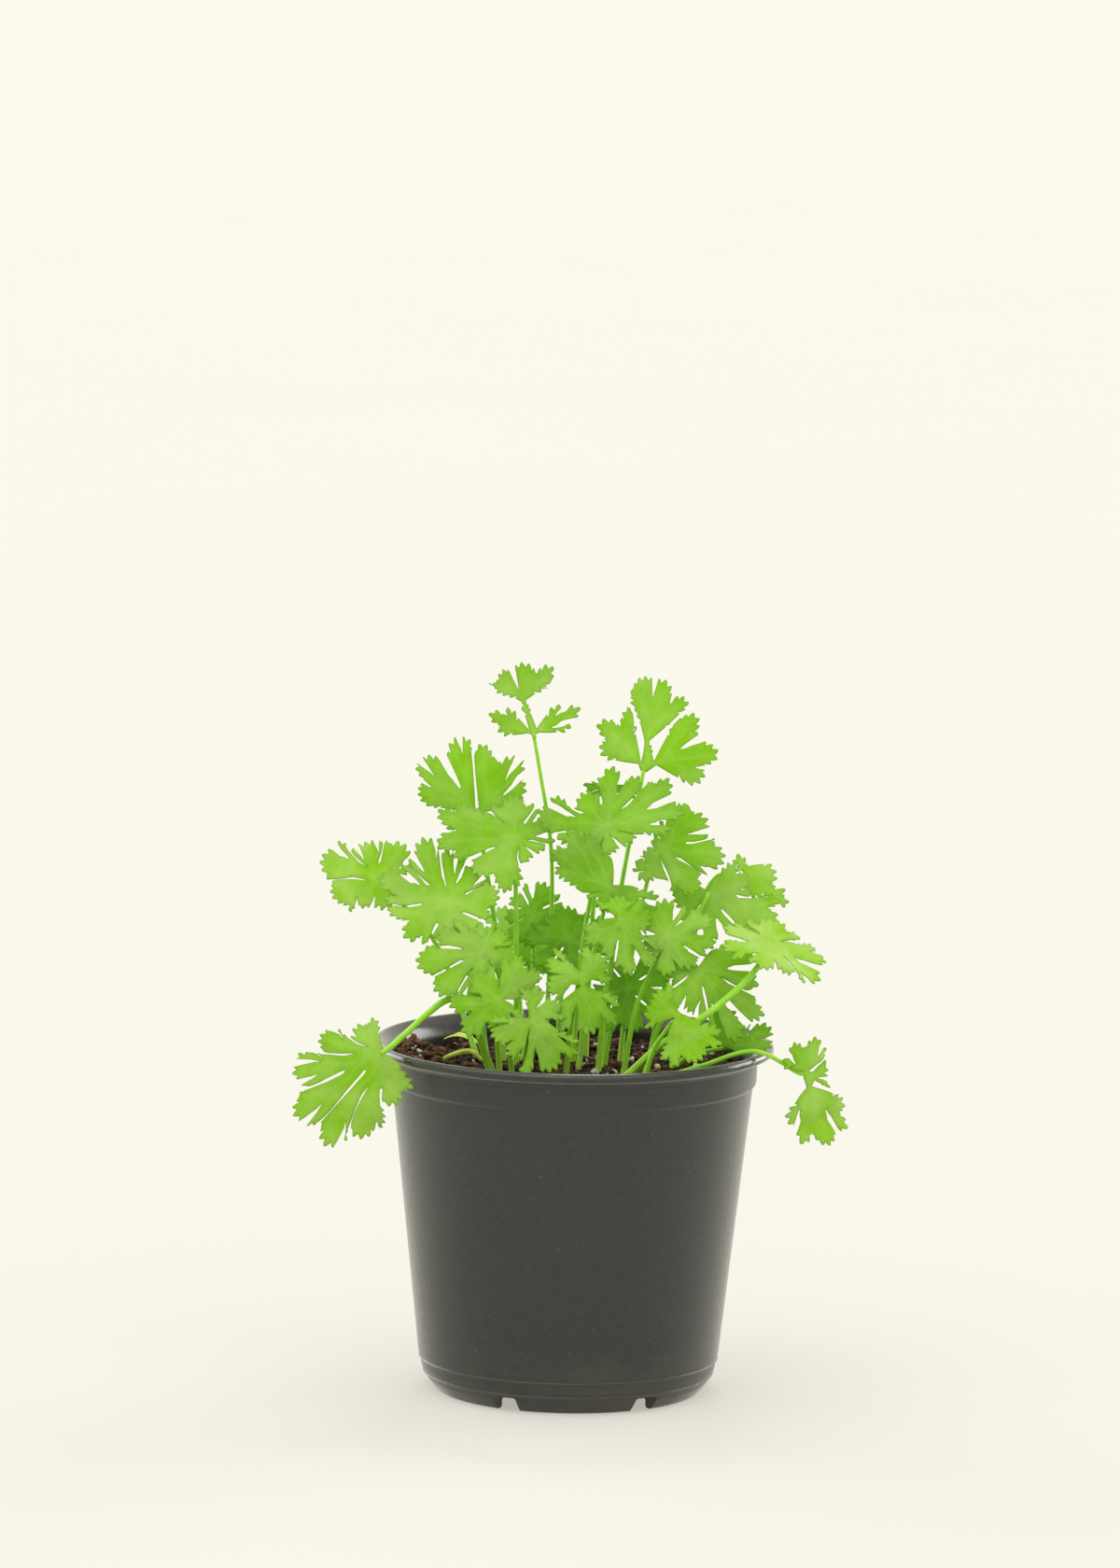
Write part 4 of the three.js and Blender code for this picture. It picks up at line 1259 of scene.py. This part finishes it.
def make_blade(label, hub, stalk_radius, material):
    """One leaf blade round its hub, in place of the CAD blade."""
    rng = random.Random(100 + int(label))
    outline, normal = read_blade("leaf_" + label)
    along = (outline[0] - hub).cross(normal).normalized()
    across = normal.cross(along)
    loop = np.array([[(p - hub).dot(along), (p - hub).dot(across)] for p in outline])
    heights = np.array([(p - hub).dot(normal) for p in outline])
    if signed_area(loop) < 0:
        loop, heights = loop[::-1], heights[::-1]
    fine, tips = toothed_outline(loop, rng)
    sheet = thin_plate(np.vstack([loop, [[0, 0]]]), np.append(heights, 0))
    reach = np.linalg.norm(fine, axis=1).max()
    grid = np.array(hexagon_grid(reach, FILL_SPACING, rng, 0.12))
    away, _ = nearest(fine, grid)
    grid = grid[away > 0.42 * FILL_SPACING]
    flat = [Vector(p) for p in np.vstack([fine, grid])]
    rim = [(k, (k + 1) % len(fine)) for k in range(len(fine))]
    places, _, triangles, _, _, _ = geometry.delaunay_2d_cdt(flat, rim, [], 1, 1e-7)
    places = np.array([tuple(p) for p in places])
    centres = np.array([places[list(t)].mean(axis=0) for t in triangles])
    triangles = [tuple(t) for t, turns in zip(triangles, turns_round(fine, centres)) if turns > 0]
    held = {i for t in triangles for i in t}
    start = min(held, key=lambda i: np.linalg.norm(places[i]))
    triangles = joined_to(start, triangles)
    used = sorted({i for t in triangles for i in t})
    index = {old: new for new, old in enumerate(used)}
    places = places[used]
    triangles = [tuple(index[i] for i in t) for t in triangles]
    margin, _ = nearest(fine, places)
    lines, flow = grow_veins(places, triangles, margin, tips)
    off, which = nearest(lines, places)
    order = np.sqrt(flow[which] / flow.max())
    vein = np.exp(-((off / ((0.22 + 0.35 * order) * MM)) ** 2)) * (0.35 + 0.65 * order)
    out = np.linalg.norm(places, axis=1)
    seed = Vector((rng.uniform(0, 90), rng.uniform(0, 90), rng.uniform(0, 90)))
    wave = np.array([noise.noise(Vector((x, y, 0)) / WAVE_LENGTH + seed) for x, y in places])
    quilt = np.array([noise.noise(Vector((x, y, 0)) / QUILT_LENGTH + seed) for x, y in places])
    free = np.clip(out / (6 * MM), 0, 1)
    rise = sheet(places) + (0.9 * wave * free + 0.1 * quilt - 0.16 * vein) * MM
    rib = stalk_radius * 0.85 * np.sqrt(flow[which] / flow.max()) * np.exp(-((off / (0.75 * MM)) ** 2))
    rib *= np.clip(1.15 - out / (0.75 * reach), 0.12, 1)
    top = rise + BLADE_SKIN + 0.25 * rib
    bottom = rise - BLADE_SKIN - rib - 0.1 * vein * MM
    points = [hub + along * x + across * y + normal * h for (x, y), h in zip(places, top)]
    points += [hub + along * x + across * y + normal * h for (x, y), h in zip(places, bottom)]
    size = len(places)
    upward = along.cross(across).dot(normal) > 0
    faces, sides = [], {}
    for a, b, c in triangles:
        faces.append((a, b, c) if upward else (a, c, b))
        faces.append((size + a, size + c, size + b) if upward else (size + a, size + b, size + c))
        for p, q in ((a, b), (b, c), (c, a)):
            sides[(p, q)] = sides.get((p, q), 0) + 1
            sides[(q, p)] = sides.get((q, p), 0)
    for (p, q), number in sides.items():
        if number == 1 and sides[(q, p)] == 0:
            faces.append((q, p, size + p, size + q) if upward else (p, q, size + q, size + p))
    edge = np.clip(1 - margin / (0.5 * MM), 0, 1)
    # painted light and shade: leaves far from the middle and high above the lip are marked lit, inner and low
    # ones are marked shaded
    painted_light_raw = 0.62 * math.hypot(hub.x, hub.y) / (50 * MM) + 0.62 * max(0, hub.z - LIP_TOP) / (90 * MM)
    painted_light = min(1.0, max(0.0, painted_light_raw - 0.1))
    values = {
        "vein": np.tile(vein, 2),
        "edge": np.tile(edge, 2),
        "under": np.repeat([0.0, 1.0], size),
        "painted_light": np.full(2 * size, painted_light),
    }
    return build_piece(
        "blade_" + label, points, faces, material, ("leaf_" + label,), values=values
    )


print("ready: make_blade")

# %% Skin of the leaves
def make_leaf_skin():
    """Leaf green with painted light and shade, lit greens on open leaves and shaded greens on inner ones:
    satin on top, paler beneath, lighter veins, thin darker margin, light shines through.
    """
    material, tree, shader = new_material("leaf_green", roughness=0.45, specular=0.2)
    # painted light and shade: the first pair of greens is the leaf in full light, the deep pair is the same
    # leaf in shade
    lit_green = two_tones(tree, (184, 217, 104), (156, 208, 36), 75.0, 1.5)
    deep = two_tones(tree, (124, 192, 4), (88, 160, 0), 95.0, 1.5)
    body = mix_colors(tree, mesh_value(tree, "painted_light"), deep.outputs["Color"], lit_green.outputs["Color"])
    below = mix_colors(
        tree, calculate(tree, "MULTIPLY", mesh_value(tree, "under"), 0.45), body, finish_color(172, 208, 104)
    )
    veined = mix_colors(
        tree, calculate(tree, "MULTIPLY", mesh_value(tree, "vein"), 0.5), below, finish_color(186, 220, 104)
    )
    rimmed = mix_colors(
        tree, calculate(tree, "MULTIPLY", mesh_value(tree, "edge"), 0.4), veined, finish_color(96, 146, 16)
    )
    tree.links.new(rimmed, shader.inputs["Base Color"])
    gloss = calculate(tree, "ADD", calculate(tree, "MULTIPLY", lit_green.outputs["Mask"], 0.12), 0.4)
    tree.links.new(gloss, shader.inputs["Roughness"])
    set_grain(tree, shader, 1500.0, 0.35, 0.00015)
    glow = tree.nodes.new("ShaderNodeBsdfTranslucent")
    warm = mix_colors(tree, 0.5, rimmed, finish_color(160, 214, 8))
    tree.links.new(warm, glow.inputs["Color"])
    blend = tree.nodes.new("ShaderNodeMixShader")
    blend.inputs[0].default_value = 0.42
    tree.links.new(shader.outputs[0], blend.inputs[1])
    tree.links.new(glow.outputs[0], blend.inputs[2])
    tree.links.new(blend.outputs[0], tree.nodes["Material Output"].inputs["Surface"])
    return material


LEAF_GREEN = make_leaf_skin()
print("ready: make_leaf_skin")

# %% Put the plant together
def leaf_hub(label, centres):
    """Where a stalk meets its blade: straight on from the stalk's end, or up through the blade."""
    _, normal = read_blade("leaf_" + label)
    points, faces = welded("leaf_" + label)
    blade_tree = BVHTree.FromPolygons(points, faces)
    end = centres[-1]
    ahead = (centres[-1] - centres[-2]).normalized()
    for way in (normal, -normal):
        hit = blade_tree.ray_cast(end, way)
        if hit[0] is not None and hit[3] < 2.2 * MM:
            return hit[0] + way * 0.35 * MM
    place, _, _, _ = blade_tree.find_nearest(end)
    return place + ahead * 1.0 * MM


def make_stalk(label):
    """One stalk in place of its CAD stem, and the hub that it reaches."""
    leaf_points, _ = welded("leaf_" + label)
    leaf_middle = min(
        leaf_points, key=lambda p: min((p - v.co).length for v in NODES["stem_" + label].data.vertices)
    )
    centres, radius = ring_centres("stem_" + label, leaf_middle)
    hub = leaf_hub(label, centres)
    down = (centres[0] - centres[1]).normalized()
    path = smooth_path([centres[0] + down * 4 * MM] + centres + [hub], 1.3 * MM)
    share = np.linspace(0, 1, len(path))
    widths = radius * (1.0 - 0.3 * share + 0.3 * np.exp(-share * 14))
    points, faces = ribbed_rod(path, widths, int(label))
    corner = np.tile(np.arange(STALK_SIDES), len(path))
    values = {
        "foot": np.repeat(np.clip(1 - share / 0.3, 0, 1) ** 1.5, STALK_SIDES),
        "rib": 0.5 - 0.5 * np.cos(STALK_RIBS * 2 * np.pi * corner / STALK_SIDES + int(label)),
    }
    stands_for = ("stem_" + label,)
    build_piece("stalk_" + label, points, faces, STEM_GREEN, stands_for, values=values)
    return hub, radius


total = 0
for label in LEAF_LABELS:
    hub, radius = make_stalk(label)
    blade = make_blade(label, hub, radius, LEAF_GREEN)
    total += len(blade.data.vertices)
print("blades:", len(LEAF_LABELS), "with", total, "points")

# %% [markdown]
# ## Dry bits on the mix
#
# A dry, pale seed leaf lies on the mix at the left, and beside it a bare stalk that has lost its
# leaf. The seed leaf is a curled strip, so its edges roll up as it dries. The stalk is the same
# ribbed rod as the others, in the dry finish.

# %% Dry straw finish
def make_dry_straw():
    """Dull, pale yellow-green: leaf tissue that has nearly dried out."""
    material, tree, shader = new_material("dry_straw", roughness=0.7, specular=0.3)
    tones = two_tones(tree, (200, 214, 112), (160, 184, 56), 300.0, 1.3)
    tree.links.new(tones.outputs["Color"], shader.inputs["Base Color"])
    set_grain(tree, shader, 1300.0, 0.6, 0.0002)
    rough = calculate(tree, "ADD", calculate(tree, "MULTIPLY", tones.outputs["Mask"], 0.15), 0.62)
    tree.links.new(rough, shader.inputs["Roughness"])
    return material


DRY_STRAW = make_dry_straw()
print("ready: make_dry_straw")

# %% Seed leaf and bare stalk
def make_seed_leaf():
    """A narrow curled strip along the CAD strip's long axis."""
    outline, normal = read_blade("seed_leaf")
    middle = sum(outline, Vector()) / len(outline)
    ends = max(((a, b) for a in outline for b in outline), key=lambda pair: (pair[0] - pair[1]).length)
    start, end = ends
    length = (end - start).length
    along = (end - start).normalized()
    across = normal.cross(along).normalized()
    half = max(abs((p - middle).dot(across)) for p in outline)
    points, faces = [], []
    rows, columns = 41, 13
    for side in (1, -1):
        for row in range(rows):
            share = row / (rows - 1)
            wide = 1.25 * half * math.sin(math.pi * (0.03 + 0.94 * share)) ** 0.7
            arch = 1.7 * MM * math.sin(math.pi * share)
            for column in range(columns):
                across_share = 2 * column / (columns - 1) - 1
                curl = 0.7 * MM * across_share**2 * (0.4 + 0.6 * math.sin(math.pi * share))
                bumps = 0.25 * MM * noise.noise(Vector((share * 7, across_share * 2, 5)))
                p = start + along * length * share + across * wide * across_share
                points.append(p + normal * (arch + curl + bumps + side * 0.13 * MM))
    size = rows * columns
    for row in range(rows - 1):
        for column in range(columns - 1):
            a = row * columns + column
            faces.append((a, a + columns, a + columns + 1, a + 1))
            faces.append((size + a, size + a + 1, size + a + columns + 1, size + a + columns))
    ring = list(range(columns - 1)) + [r * columns + columns - 1 for r in range(rows - 1)]
    ring += [(rows - 1) * columns + c for c in range(columns - 1, 0, -1)]
    ring += [r * columns for r in range(rows - 1, 0, -1)]
    for a, b in zip(ring, ring[1:] + ring[:1]):
        faces.append((a, b, size + b, size + a))
    build_piece("dry_seed_leaf", points, faces, DRY_STRAW, ("seed_leaf",))


make_seed_leaf()
centres, radius = ring_centres("bare_stalk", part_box("bare_stalk")[0])
path = smooth_path(centres, 0.6 * MM)
share = np.linspace(0, 1, len(path))
points, faces = ribbed_rod(path, radius * (0.75 + 0.35 * np.sin(np.pi * share)), 1.0)
build_piece("bent_bare_stalk", points, faces, DRY_STRAW, ("bare_stalk",))
print("dry bits made")
